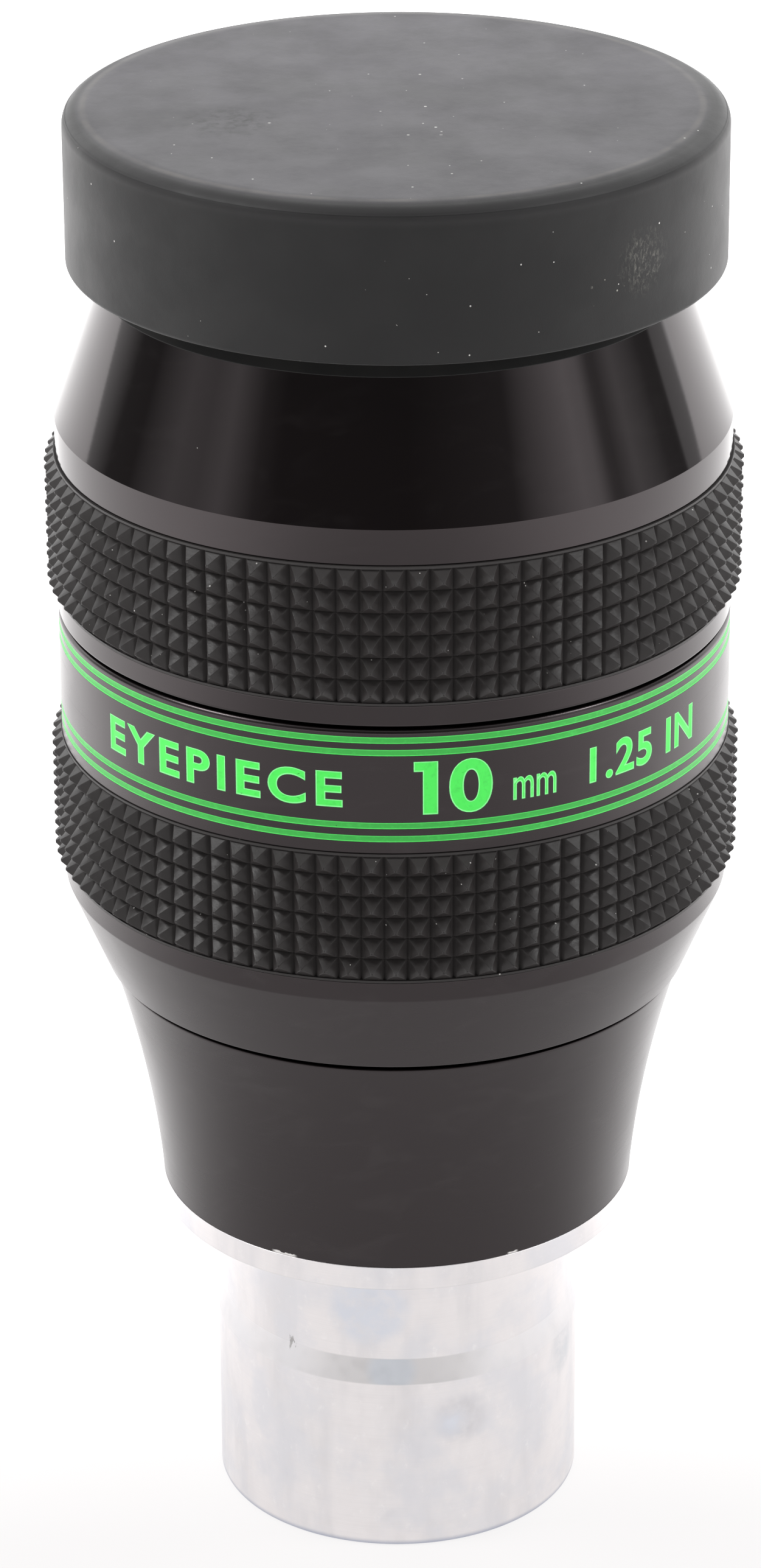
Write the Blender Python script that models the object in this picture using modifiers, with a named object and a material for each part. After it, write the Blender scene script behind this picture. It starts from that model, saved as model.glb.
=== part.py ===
"""Telescope eyepiece for a 31.7 mm (1.25 inch) focuser, with a sliding, twist-locking eyeguard.

Units are metres. +Z runs up the optical axis, from the lower face of the barrel at z = 0 to the
dust cap. Nearly every piece is turned about Z. Heights below are measured from the barrel's lower
face, with the eyeguard pushed fully down and the dust cap on.
"""
import math

import bpy

MM = 0.001
GAP = 0.3 * MM                  # clearance between neighbouring pieces
OUTER_STEPS = 40                # facets round an outer piece
INNER_STEPS = 28                # facets round an inner piece
ROD_STEPS = 16                  # facets round a pin or a pin hole
SECTION_STEPS = 8               # facets round the friction ring's section
OVERSHOOT = 1.0 * MM            # how far a cutter runs past the faces it cuts through
EMPTY_SIZE = 10.0 * MM
SHARP_ANGLE = math.radians(35)  # edges that turn more than this stay sharp

# Nosepiece: barrel, undercut and flange in one piece
BARREL_R = 15.85 * MM
BARREL_CHAMFER = 0.4 * MM
UNDERCUT_R = 15.4 * MM
UNDERCUT_START_Z = 16.2 * MM
UNDERCUT_FULL_Z = 18.5 * MM
FLANGE_R = 20.6 * MM
FLANGE_LOW_Z = 28.1 * MM
FLANGE_TOP_Z = 30.2 * MM
FLANGE_CHAMFER = 0.2 * MM
FILTER_THREAD_R = 14.25 * MM
FILTER_THREAD_LENGTH = 5.5 * MM
BARREL_BORE_R = 13.7 * MM
SPIGOT_R = 16.5 * MM
SPIGOT_TOP_Z = 38.3 * MM

# Lower lens cell, inside the barrel
CELL_LOW_Z = 11.0 * MM
CELL_TOP_Z = 25.3 * MM
CELL_LIP = 1.5 * MM
CELL_LIP_R = 10.0 * MM
CELL_LENS_R = 11.3 * MM
CELL_RETAINER_LOW_Z = 11.8 * MM
CELL_RETAINER_TOP_Z = 14.2 * MM
NEGATIVE_LENS_Z = (14.5 * MM, 20.0 * MM)
NEGATIVE_LENS_SAGS = (-1.2 * MM, -1.8 * MM)
MENISCUS_LENS_Z = (20.3 * MM, 23.5 * MM)
MENISCUS_LENS_SAGS = (1.8 * MM, -0.6 * MM)

# Field stop
FIELD_STOP_TOP_Z = 40.6 * MM
FIELD_STOP_HOLE_R = 6.4 * MM
FIELD_STOP_EDGE = 0.3 * MM

# Lower housing, with its concave flare
FLARE_LOW_R = 20.45 * MM
FLARE_TOP_R = 24.55 * MM
FLARE_TOP_Z = 51.15 * MM
FLARE_HOLLOW = 0.57 * MM        # how far the flare curves in from a straight line
FLARE_PARTS = 6
STOP_SHOULDER_R = 15.0 * MM
STOP_SHOULDER_TOP_Z = 43.0 * MM
LIGHT_CHAMBER_R = 19.5 * MM
LIGHT_CHAMBER_Z = 50.0 * MM
HOUSING_SPIGOT_R = 22.0 * MM
HOUSING_SPIGOT_TOP_Z = 57.0 * MM

# Main housing
HOUSING_LOW_Z = 51.67 * MM
HOUSING_LOW_R = 25.05 * MM
HOUSING_CONE_TOP_Z = 59.3 * MM
HOUSING_R = 28.25 * MM
HOUSING_TOP_Z = 83.36 * MM
HOUSING_EDGE = 0.4 * MM
HOUSING_BORE_R = 24.9 * MM
HOUSING_BORE_LOW_Z = 58.2 * MM
HOUSING_WEB_LOW_Z = 80.5 * MM

# Rubber grips, each in a groove
GRIP_GROOVE_R = 27.2 * MM
GRIP_TIP_R = 29.15 * MM
GRIP_ROOT_R = 28.2 * MM
GRIP_ROWS = 6
LOWER_GROOVE_LOW_Z = 60.85 * MM
LOWER_GROOVE_TOP_Z = 72.65 * MM
UPPER_GROOVE_LOW_Z = 85.35 * MM
UPPER_GROOVE_TOP_Z = 97.55 * MM

# Optical barrel: the lower section screws into the upper one, on which the eyeguard slides,
# and the eye lens cell screws on its top
OPTICAL_BARREL_R = 20.5 * MM
OPTICAL_BARREL_LOW_Z = 57.4 * MM
LENS_SEAT_TOP_Z = 61.2 * MM
LENS_SEAT_R = 13.2 * MM
MIDDLE_LENS_R = 14.7 * MM
MIDDLE_BORE_TOP_Z = 84.0 * MM
UPPER_LENS_R = 16.2 * MM
RETAINER_BORE_LOW_Z = 103.4 * MM
RETAINER_BORE_R = 17.7 * MM
BARREL_JOINT_Z = 76.7 * MM
BARREL_SPIGOT_R = 17.5 * MM
BARREL_SPIGOT_TOP_Z = 79.0 * MM
BARREL_FLANGE_LOW_Z = 78.0 * MM
CLAMP_RING_LOW_Z = 75.2 * MM
CELL_SPIGOT_R = 19.0 * MM
CELL_SPIGOT_TOP_Z = 105.4 * MM
EYE_CELL_TOP_Z = 110.6 * MM

# Upper optics, from the lowest up: heights of the lens edges and spacers, and the lens faces'
# sags, lower and upper (positive bulges out). A crown nests in the hollow top of its flint.
SPACER_WALL = 1.2 * MM
COLLECTOR_Z = (61.6 * MM, 64.6 * MM)
COLLECTOR_SAGS = (1.0 * MM, 2.4 * MM)
LOWER_SPACER_Z = (65.3 * MM, 72.3 * MM)
MIDDLE_FLINT_Z = (72.6 * MM, 77.8 * MM)
MIDDLE_FLINT_SAGS = (-1.4 * MM, -2.6 * MM)
MIDDLE_CROWN_Z = (78.1 * MM, 80.0 * MM)
MIDDLE_CROWN_SAGS = (2.6 * MM, 1.8 * MM)
MIDDLE_SPACER_Z = (80.6 * MM, 83.9 * MM)
UPPER_FLINT_Z = (84.3 * MM, 88.0 * MM)
UPPER_FLINT_SAGS = (-1.0 * MM, -2.8 * MM)
UPPER_CROWN_Z = (88.3 * MM, 90.8 * MM)
UPPER_CROWN_SAGS = (2.8 * MM, 2.4 * MM)
UPPER_SPACER_Z = (91.5 * MM, 97.5 * MM)
EYE_LENS_Z = (98.2 * MM, 103.1 * MM)
EYE_LENS_SAGS = (2.4 * MM, 1.3 * MM)

# Eye lens retainer
RETAINER_LOW_Z = 103.7 * MM
RETAINER_TOP_Z = 106.3 * MM
RETAINER_HOLE_R = 15.4 * MM
RETAINER_BEVEL = 1.2 * MM
SPANNER_SLOT_WIDTH = 1.6 * MM
SPANNER_SLOT_DEPTH = 1.0 * MM

# Top stop ring, on the reduced end of the eye lens cell
STOP_SPIGOT_R = 19.6 * MM
STOP_SPIGOT_LOW_Z = 108.3 * MM
STOP_RING_R = 21.4 * MM
STOP_RING_LOW_Z = 108.6 * MM

# Locking collet, friction ring and guide pins
COLLET_LOW_Z = 86.2 * MM
COLLET_TOP_Z = 97.2 * MM
COLLET_R = 24.6 * MM
COLLET_SPLIT = 1.2 * MM
COLLET_SPLIT_ANGLE = math.pi
FRICTION_RING_Z = 94.6 * MM
FRICTION_RING_SECTION_R = 0.5 * MM
GUIDE_PIN_COUNT = 3
GUIDE_PIN_R = 1.0 * MM
GUIDE_PIN_Z = 89.5 * MM
GUIDE_PIN_INNER_R = 19.2 * MM
GUIDE_PIN_OUTER_R = 24.2 * MM
KEYWAY_FLOOR_R = 18.8 * MM
EYEGUARD_TRAVEL = 11.0 * MM
COLLET_RETAINER_LOW_Z = 84.1 * MM
COLLET_RETAINER_R = 24.7 * MM
COLLET_RETAINER_HOLE_R = 21.0 * MM

# Eyeguard sleeve
SLEEVE_LOW_Z = 83.84 * MM
SLEEVE_LIP_R = 28.25 * MM
SLEEVE_EDGE = 0.15 * MM
SLEEVE_BAND_R = 28.15 * MM
SLEEVE_BAND_TOP_Z = 100.4 * MM
CONE_LOW_R = 28.0 * MM
CONE_LOW_Z = 100.6 * MM
CONE_TOP_R = 23.65 * MM
CONE_TOP_Z = 113.2 * MM
SLEEVE_BORE_R = 25.0 * MM
SLEEVE_SHOULDER_Z = 97.5 * MM
SLEEVE_THROAT_R = 23.9 * MM
SLEEVE_THROAT_TOP_Z = 108.0 * MM
SLEEVE_NECK_R = 23.2 * MM
SLEEVE_NECK_Z = 111.3 * MM
RIM_INNER_R = 21.7 * MM
RIM_INNER_Z = 112.8 * MM
RIM_R = 22.6 * MM
RIM_TOP_Z = 116.0 * MM
RIM_BEAD = 0.6 * MM
RIM_BEAD_LOW_Z = 114.9 * MM

# Rubber eyecup
EYECUP_LOW_Z = 113.5 * MM
EYECUP_TOP_Z = 124.9 * MM
EYECUP_BASE_R = 25.0 * MM
EYECUP_BASE_TOP_Z = 116.8 * MM
EYECUP_FOLD_R = 24.4 * MM
EYECUP_FOLD_Z = 117.8 * MM
EYECUP_TOP_R = 25.2 * MM
EYECUP_BEAD_R = 0.9 * MM
EYECUP_WALL = 1.1 * MM
EYECUP_LIP_R = 22.0 * MM
EYECUP_LIP_TOP_Z = 117.3 * MM

# Dust cap
CAP_R = 27.15 * MM
CAP_LOW_Z = 113.7 * MM
CAP_TOP_Z = 126.6 * MM
CAP_INNER_R = 25.9 * MM
CAP_CEILING_Z = 125.2 * MM
CAP_TOP_FILLET = 0.7 * MM
CAP_RIM_FILLET = 0.3 * MM
CAP_SHIFT_X = 0.3 * MM          # the cap sits slightly to one side on the soft eyecup

# Materials: colour, roughness, metallic
SATIN_BLACK = ((0.045, 0.040, 0.041), 0.38, 0.6)
GLOSS_BLACK = ((0.020, 0.019, 0.021), 0.12, 0.4)
MATTE_BLACK = ((0.012, 0.012, 0.012), 0.80, 0.2)
SATIN_SILVER = ((0.80, 0.79, 0.80), 0.28, 1.0)
GRIP_RUBBER = ((0.022, 0.022, 0.023), 0.60, 0.0)
CAP_RUBBER = ((0.055, 0.053, 0.056), 0.70, 0.0)
BRASS = ((0.62, 0.46, 0.22), 0.35, 1.0)
STEEL = ((0.55, 0.55, 0.56), 0.30, 1.0)
COATED_GLASS = ((0.55, 0.75, 0.62), 0.02, 0.0)


def clear_scene():
    for thing in list(bpy.data.objects):
        bpy.data.objects.remove(thing, do_unlink=True)


def new_collection(name, hidden=False):
    collection = bpy.data.collections.new(name)
    collection.hide_render = hidden
    bpy.context.scene.collection.children.link(collection)
    return collection


def set_finish(piece, finish):
    """Give the piece a Principled material of its own."""
    colour, roughness, metallic = finish
    material = bpy.data.materials.new(piece.name)
    material.use_nodes = True
    shader = material.node_tree.nodes["Principled BSDF"]
    shader.inputs["Base Color"].default_value = (*colour, 1.0)
    shader.inputs["Roughness"].default_value = roughness
    shader.inputs["Metallic"].default_value = metallic
    material.diffuse_color = (*colour, 1.0)
    piece.data.materials.append(material)


def smooth_rounds(piece):
    piece.data.shade_smooth()
    piece.data.set_sharp_from_angle(angle=SHARP_ANGLE)


def apply_modifier(piece, modifier):
    bpy.context.view_layer.objects.active = piece
    bpy.ops.object.modifier_apply(modifier=modifier.name)


def turned(name, outline, finish, closed=True, steps=OUTER_STEPS):
    """Turn an outline of (radius, height) points about Z, and stand it at its own lowest height.

    The outline runs down the outer side, top to bottom. A closed one makes a ring; an open one
    starts and ends on the axis.
    """
    low = min(height for _, height in outline)
    points = [(radius, 0.0, height - low) for radius, height in outline]
    edges = [(i, i + 1) for i in range(len(points) - 1)]
    if closed:
        edges.append((len(points) - 1, 0))
    mesh = bpy.data.meshes.new(name)
    mesh.from_pydata(points, edges, [])
    piece = bpy.data.objects.new(name, mesh)
    piece.location.z = low
    EYEPIECE.objects.link(piece)
    screw = piece.modifiers.new("Turn", "SCREW")
    screw.axis = "Z"
    screw.angle = math.tau
    screw.steps = steps
    screw.render_steps = steps
    screw.use_merge_vertices = True
    screw.merge_threshold = 0.01 * MM
    screw.use_smooth_shade = True
    apply_modifier(piece, screw)
    smooth_rounds(piece)
    set_finish(piece, finish)
    return piece


def arc(centre, radius, start_deg, end_deg, parts):
    """Points round part of a circle, both ends included; 0 degrees points outwards, 90 up."""
    points = []
    for i in range(parts + 1):
        angle = math.radians(start_deg + (end_deg - start_deg) * i / parts)
        points.append((centre[0] + radius * math.cos(angle), centre[1] + radius * math.sin(angle)))
    return points


def bow(start, end, depth, parts):
    """Points of a shallow curve from start to end that lies depth inside their straight line."""
    points = []
    for i in range(parts + 1):
        t = i / parts
        inset = 4.0 * depth * t * (1.0 - t)
        points.append((start[0] + (end[0] - start[0]) * t - inset,
                       start[1] + (end[1] - start[1]) * t))
    return points


def dome(edge_r, edge_z, sag, parts=3):
    """Points of a spherical face, from the axis out to its edge; a negative sag is hollow."""
    ball = (edge_r ** 2 + sag ** 2) / (2.0 * sag)
    half = math.asin(edge_r / ball)
    points = []
    for i in range(parts + 1):
        angle = half * i / parts
        points.append((ball * math.sin(angle), edge_z + sag - ball * (1.0 - math.cos(angle))))
    points[0] = (0.0, points[0][1])
    points[-1] = (edge_r, edge_z)
    return points


def lens(name, edge_r, edge_z, sags):
    """A lens: its edge spans the two heights, and its lower and upper face have these sags."""
    top = dome(edge_r, edge_z[1], sags[1])
    bottom = dome(edge_r, edge_z[0], -sags[0])
    return turned(name, top + bottom[::-1], COATED_GLASS, closed=False, steps=INNER_STEPS)


def ring(name, inner_r, outer_r, low_z, top_z):
    outline = [(inner_r, top_z), (outer_r, top_z), (outer_r, low_z), (inner_r, low_z)]
    return turned(name, outline, MATTE_BLACK, steps=INNER_STEPS)


def spacer(name, outer_r, span_z):
    return ring(name, outer_r - SPACER_WALL, outer_r, *span_z)


def cutter_box(name, centre, size, turn=0.0):
    """A box cutter, swung round Z by turn after it is placed."""
    bpy.ops.mesh.primitive_cube_add(size=1.0)
    return place_cutter(name, centre, size, (0.0, 0.0, turn), turn)


def cutter_rod(name, centre, radius, length, turn=0.0):
    """A cylinder cutter that lies along the direction turn points to."""
    bpy.ops.mesh.primitive_cylinder_add(vertices=ROD_STEPS, radius=radius, depth=length)
    return place_cutter(name, centre, (1.0, 1.0, 1.0), (0.0, math.pi / 2, turn), turn)


def place_cutter(name, centre, size, rotation, turn):
    cutter = bpy.context.object
    cutter.name = name
    cutter.scale = size
    bpy.ops.object.transform_apply(location=False, rotation=False, scale=True)
    x, y, z = centre
    cutter.location = (x * math.cos(turn) - y * math.sin(turn),
                       x * math.sin(turn) + y * math.cos(turn), z)
    cutter.rotation_euler = rotation
    cutter.hide_render = True
    cutter.display_type = "WIRE"
    for home in list(cutter.users_collection):
        home.objects.unlink(cutter)
    CUTTERS.objects.link(cutter)
    return cutter


def cut(piece, cutter):
    boolean = piece.modifiers.new(cutter.name, "BOOLEAN")
    boolean.operation = "DIFFERENCE"
    boolean.solver = "EXACT"
    boolean.object = cutter


def cut_spanner_slots(piece, top_z, outer_r):
    """Two notches across the top of a threaded ring, for a pin spanner."""
    size = (2.0 * (outer_r + OVERSHOOT), SPANNER_SLOT_WIDTH, 2.0 * SPANNER_SLOT_DEPTH)
    cut(piece, cutter_box(piece.name + "_slots", (0.0, 0.0, top_z), size))


def guide_angles():
    return [math.tau * i / GUIDE_PIN_COUNT for i in range(GUIDE_PIN_COUNT)]


def nosepiece():
    bore_r = BARREL_BORE_R
    outline = [
        (bore_r, SPIGOT_TOP_Z), (SPIGOT_R, SPIGOT_TOP_Z), (SPIGOT_R, FLANGE_TOP_Z),
        (FLANGE_R - FLANGE_CHAMFER, FLANGE_TOP_Z), (FLANGE_R, FLANGE_TOP_Z - FLANGE_CHAMFER),
        (FLANGE_R, FLANGE_LOW_Z + FLANGE_CHAMFER), (FLANGE_R - FLANGE_CHAMFER, FLANGE_LOW_Z),
        (UNDERCUT_R, FLANGE_LOW_Z), (UNDERCUT_R, UNDERCUT_FULL_Z), (BARREL_R, UNDERCUT_START_Z),
        (BARREL_R, BARREL_CHAMFER), (BARREL_R - BARREL_CHAMFER, 0.0),
        (FILTER_THREAD_R, 0.0), (FILTER_THREAD_R, FILTER_THREAD_LENGTH),
        (bore_r, FILTER_THREAD_LENGTH + FILTER_THREAD_R - bore_r),
    ]
    return turned("nosepiece", outline, SATIN_SILVER)


def lower_cell():
    outer_r = BARREL_BORE_R - GAP
    bore_r = CELL_LENS_R + GAP
    outline = [
        (CELL_LIP_R, CELL_TOP_Z), (outer_r, CELL_TOP_Z), (outer_r, CELL_LOW_Z),
        (bore_r, CELL_LOW_Z), (bore_r, CELL_TOP_Z - CELL_LIP), (CELL_LIP_R, CELL_TOP_Z - CELL_LIP),
    ]
    return turned("lower_lens_cell", outline, MATTE_BLACK, steps=INNER_STEPS)


def lower_lens_retainer():
    piece = ring("lower_lens_retainer", CELL_LIP_R, CELL_LENS_R, CELL_RETAINER_LOW_Z,
                 CELL_RETAINER_TOP_Z)
    cut_spanner_slots(piece, CELL_RETAINER_LOW_Z, CELL_LENS_R)
    return piece


def lower_lenses():
    """The negative group in the barrel: a hollow lens, and a meniscus that nests in it."""
    lens("lower_negative_lens", CELL_LENS_R, NEGATIVE_LENS_Z, NEGATIVE_LENS_SAGS)
    lens("lower_meniscus_lens", CELL_LENS_R, MENISCUS_LENS_Z, MENISCUS_LENS_SAGS)


def field_stop():
    low_z = SPIGOT_TOP_Z + GAP
    knife_z = FIELD_STOP_TOP_Z - FIELD_STOP_EDGE
    bevel_r = FIELD_STOP_HOLE_R + (knife_z - low_z)
    outline = [
        (FIELD_STOP_HOLE_R, FIELD_STOP_TOP_Z), (SPIGOT_R, FIELD_STOP_TOP_Z), (SPIGOT_R, low_z),
        (bevel_r, low_z), (FIELD_STOP_HOLE_R, knife_z),
    ]
    return turned("field_stop", outline, MATTE_BLACK, steps=INNER_STEPS)


def lower_housing():
    low_z = FLANGE_TOP_Z + GAP
    thread_r = SPIGOT_R + GAP
    seat_z = FIELD_STOP_TOP_Z + GAP
    flare = bow((FLARE_TOP_R, FLARE_TOP_Z), (FLARE_LOW_R, low_z), FLARE_HOLLOW, FLARE_PARTS)
    outline = [
        (LIGHT_CHAMBER_R, HOUSING_SPIGOT_TOP_Z), (HOUSING_SPIGOT_R, HOUSING_SPIGOT_TOP_Z),
        (HOUSING_SPIGOT_R, FLARE_TOP_Z), *flare,
        (thread_r, low_z), (thread_r, seat_z), (STOP_SHOULDER_R, seat_z),
        (STOP_SHOULDER_R, STOP_SHOULDER_TOP_Z), (LIGHT_CHAMBER_R, LIGHT_CHAMBER_Z),
    ]
    return turned("lower_housing", outline, SATIN_BLACK)


def main_housing():
    hole_r = OPTICAL_BARREL_R + GAP
    socket_r = HOUSING_SPIGOT_R + GAP
    socket_top_z = HOUSING_SPIGOT_TOP_Z + GAP
    outline = [
        (hole_r, HOUSING_TOP_Z), (HOUSING_R - HOUSING_EDGE, HOUSING_TOP_Z),
        (HOUSING_R, HOUSING_TOP_Z - HOUSING_EDGE), (HOUSING_R, LOWER_GROOVE_TOP_Z),
        (GRIP_GROOVE_R, LOWER_GROOVE_TOP_Z), (GRIP_GROOVE_R, LOWER_GROOVE_LOW_Z),
        (HOUSING_R, LOWER_GROOVE_LOW_Z), (HOUSING_R, HOUSING_CONE_TOP_Z),
        (HOUSING_LOW_R, HOUSING_LOW_Z), (socket_r, HOUSING_LOW_Z), (socket_r, socket_top_z),
        (HOUSING_BORE_R, HOUSING_BORE_LOW_Z), (HOUSING_BORE_R, HOUSING_WEB_LOW_Z),
        (hole_r, HOUSING_WEB_LOW_Z),
    ]
    return turned("main_housing", outline, SATIN_BLACK)


def grip(name, groove_low_z, groove_top_z):
    """A rubber ring with rows of ridges round it."""
    low_z = groove_low_z + GAP
    top_z = groove_top_z - GAP
    pitch = (top_z - low_z) / GRIP_ROWS
    outline = []
    for row in range(GRIP_ROWS):
        outline.append((GRIP_ROOT_R, top_z - row * pitch))
        outline.append((GRIP_TIP_R, top_z - (row + 0.5) * pitch))
    inner_r = GRIP_GROOVE_R + GAP
    outline += [(GRIP_ROOT_R, low_z), (inner_r, low_z), (inner_r, top_z)]
    return turned(name, outline, GRIP_RUBBER)


def lower_optical_barrel():
    bore_r = MIDDLE_LENS_R + GAP
    outline = [
        (bore_r, BARREL_SPIGOT_TOP_Z), (BARREL_SPIGOT_R, BARREL_SPIGOT_TOP_Z),
        (BARREL_SPIGOT_R, BARREL_JOINT_Z), (OPTICAL_BARREL_R, BARREL_JOINT_Z),
        (OPTICAL_BARREL_R, OPTICAL_BARREL_LOW_Z), (LENS_SEAT_R, OPTICAL_BARREL_LOW_Z),
        (LENS_SEAT_R, LENS_SEAT_TOP_Z), (bore_r, LENS_SEAT_TOP_Z),
    ]
    return turned("lower_optical_barrel", outline, MATTE_BLACK, steps=INNER_STEPS)


def upper_optical_barrel():
    low_z = BARREL_JOINT_Z + GAP
    socket_r = BARREL_SPIGOT_R + GAP
    socket_top_z = BARREL_SPIGOT_TOP_Z + GAP
    middle_r = MIDDLE_LENS_R + GAP
    upper_r = UPPER_LENS_R + GAP
    flange_r = HOUSING_BORE_R - GAP
    flange_top_z = HOUSING_WEB_LOW_Z - GAP
    outline = [
        (RETAINER_BORE_R, CELL_SPIGOT_TOP_Z), (CELL_SPIGOT_R, CELL_SPIGOT_TOP_Z),
        (CELL_SPIGOT_R, RETAINER_BORE_LOW_Z), (OPTICAL_BARREL_R, RETAINER_BORE_LOW_Z),
        (OPTICAL_BARREL_R, flange_top_z), (flange_r, flange_top_z),
        (flange_r, BARREL_FLANGE_LOW_Z), (OPTICAL_BARREL_R, BARREL_FLANGE_LOW_Z),
        (OPTICAL_BARREL_R, low_z), (socket_r, low_z), (socket_r, socket_top_z),
        (middle_r, socket_top_z), (middle_r, MIDDLE_BORE_TOP_Z), (upper_r, MIDDLE_BORE_TOP_Z),
        (upper_r, RETAINER_BORE_LOW_Z), (RETAINER_BORE_R, RETAINER_BORE_LOW_Z),
    ]
    piece = turned("upper_optical_barrel", outline, MATTE_BLACK)
    slack = GUIDE_PIN_R + GAP
    keyway_low_z = GUIDE_PIN_Z - slack
    keyway_top_z = GUIDE_PIN_Z + EYEGUARD_TRAVEL + slack
    depth = 2.0 * (OPTICAL_BARREL_R - KEYWAY_FLOOR_R)
    centre = (KEYWAY_FLOOR_R + depth / 2, 0.0, (keyway_low_z + keyway_top_z) / 2)
    for number, angle in enumerate(guide_angles(), 1):
        size = (depth, 2.0 * slack, keyway_top_z - keyway_low_z)
        cut(piece, cutter_box(f"keyway_{number}", centre, size, angle))
    return piece


def eye_lens_cell():
    low_z = RETAINER_BORE_LOW_Z + GAP
    socket_r = CELL_SPIGOT_R + GAP
    socket_top_z = CELL_SPIGOT_TOP_Z + GAP
    outline = [
        (RETAINER_BORE_R, EYE_CELL_TOP_Z), (STOP_SPIGOT_R, EYE_CELL_TOP_Z),
        (STOP_SPIGOT_R, STOP_SPIGOT_LOW_Z), (OPTICAL_BARREL_R, STOP_SPIGOT_LOW_Z),
        (OPTICAL_BARREL_R, low_z), (socket_r, low_z), (socket_r, socket_top_z),
        (RETAINER_BORE_R, socket_top_z),
    ]
    return turned("eye_lens_cell", outline, MATTE_BLACK)


def barrel_clamp_ring():
    return ring("barrel_clamp_ring", OPTICAL_BARREL_R + GAP, HOUSING_BORE_R - GAP,
                CLAMP_RING_LOW_Z, BARREL_FLANGE_LOW_Z - GAP)


def upper_optics():
    """The lenses and spacers in the optical barrel, from the lowest up."""
    middle_r = MIDDLE_LENS_R
    upper_r = UPPER_LENS_R
    lens("collector_lens", middle_r, COLLECTOR_Z, COLLECTOR_SAGS)
    spacer("lower_spacer", middle_r, LOWER_SPACER_Z)
    lens("middle_flint_lens", middle_r, MIDDLE_FLINT_Z, MIDDLE_FLINT_SAGS)
    lens("middle_crown_lens", middle_r, MIDDLE_CROWN_Z, MIDDLE_CROWN_SAGS)
    spacer("middle_spacer", middle_r, MIDDLE_SPACER_Z)
    lens("upper_flint_lens", upper_r, UPPER_FLINT_Z, UPPER_FLINT_SAGS)
    lens("upper_crown_lens", upper_r, UPPER_CROWN_Z, UPPER_CROWN_SAGS)
    spacer("upper_spacer", upper_r, UPPER_SPACER_Z)
    lens("eye_lens", upper_r, EYE_LENS_Z, EYE_LENS_SAGS)


def eye_lens_retainer():
    outer_r = RETAINER_BORE_R - GAP
    outline = [
        (RETAINER_HOLE_R + RETAINER_BEVEL, RETAINER_TOP_Z), (outer_r, RETAINER_TOP_Z),
        (outer_r, RETAINER_LOW_Z), (RETAINER_HOLE_R, RETAINER_LOW_Z),
        (RETAINER_HOLE_R, RETAINER_TOP_Z - RETAINER_BEVEL),
    ]
    piece = turned("eye_lens_retainer", outline, MATTE_BLACK, steps=INNER_STEPS)
    cut_spanner_slots(piece, RETAINER_TOP_Z, outer_r)
    return piece


def top_stop_ring():
    return ring("top_stop_ring", STOP_SPIGOT_R + GAP, STOP_RING_R, STOP_RING_LOW_Z,
                EYE_CELL_TOP_Z)


def locking_collet():
    bore_r = OPTICAL_BARREL_R + GAP
    groove_half = FRICTION_RING_SECTION_R + GAP
    groove_r = bore_r + 2.0 * FRICTION_RING_SECTION_R + GAP
    outline = [
        (bore_r, COLLET_TOP_Z), (COLLET_R, COLLET_TOP_Z), (COLLET_R, COLLET_LOW_Z),
        (bore_r, COLLET_LOW_Z), (bore_r, FRICTION_RING_Z - groove_half),
        (groove_r, FRICTION_RING_Z - groove_half), (groove_r, FRICTION_RING_Z + groove_half),
        (bore_r, FRICTION_RING_Z + groove_half),
    ]
    piece = turned("locking_collet", outline, BRASS, steps=INNER_STEPS)
    middle = (bore_r + COLLET_R) / 2
    cut_through = COLLET_R - bore_r + 2.0 * OVERSHOOT
    cut_height = COLLET_TOP_Z - COLLET_LOW_Z + 2.0 * OVERSHOOT
    split_size = (cut_through, COLLET_SPLIT, cut_height)
    split_centre = (middle, 0.0, (COLLET_LOW_Z + COLLET_TOP_Z) / 2)
    cut(piece, cutter_box("collet_split", split_centre, split_size, COLLET_SPLIT_ANGLE))
    for number, angle in enumerate(guide_angles(), 1):
        centre = (middle, 0.0, GUIDE_PIN_Z)
        cut(piece, cutter_rod(f"pin_hole_{number}", centre, GUIDE_PIN_R + GAP, cut_through, angle))
    return piece


def friction_ring():
    """A rubber ring in the collet's inner groove; it keeps the eyeguard from dropping."""
    section = FRICTION_RING_SECTION_R
    bpy.ops.mesh.primitive_torus_add(
        major_segments=INNER_STEPS, minor_segments=SECTION_STEPS,
        major_radius=OPTICAL_BARREL_R + GAP + section, minor_radius=section,
        location=(0.0, 0.0, FRICTION_RING_Z))
    piece = bpy.context.object
    piece.name = "friction_ring"
    adopt(piece)
    piece.data.shade_smooth()
    set_finish(piece, GRIP_RUBBER)
    return piece


def guide_pin(number, angle):
    length = GUIDE_PIN_OUTER_R - GUIDE_PIN_INNER_R
    middle = (GUIDE_PIN_OUTER_R + GUIDE_PIN_INNER_R) / 2
    bpy.ops.mesh.primitive_cylinder_add(
        vertices=ROD_STEPS, radius=GUIDE_PIN_R, depth=length,
        location=(middle * math.cos(angle), middle * math.sin(angle), GUIDE_PIN_Z),
        rotation=(0.0, math.pi / 2, angle))
    piece = bpy.context.object
    piece.name = f"guide_pin_{number}"
    adopt(piece)
    smooth_rounds(piece)
    set_finish(piece, STEEL)
    return piece


def adopt(piece):
    """Move a piece made by an operator into the eyepiece's collection."""
    for home in list(piece.users_collection):
        home.objects.unlink(piece)
    EYEPIECE.objects.link(piece)


def collet_retaining_ring():
    return ring("collet_retaining_ring", COLLET_RETAINER_HOLE_R, COLLET_RETAINER_R,
                COLLET_RETAINER_LOW_Z, COLLET_LOW_Z - GAP)


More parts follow.
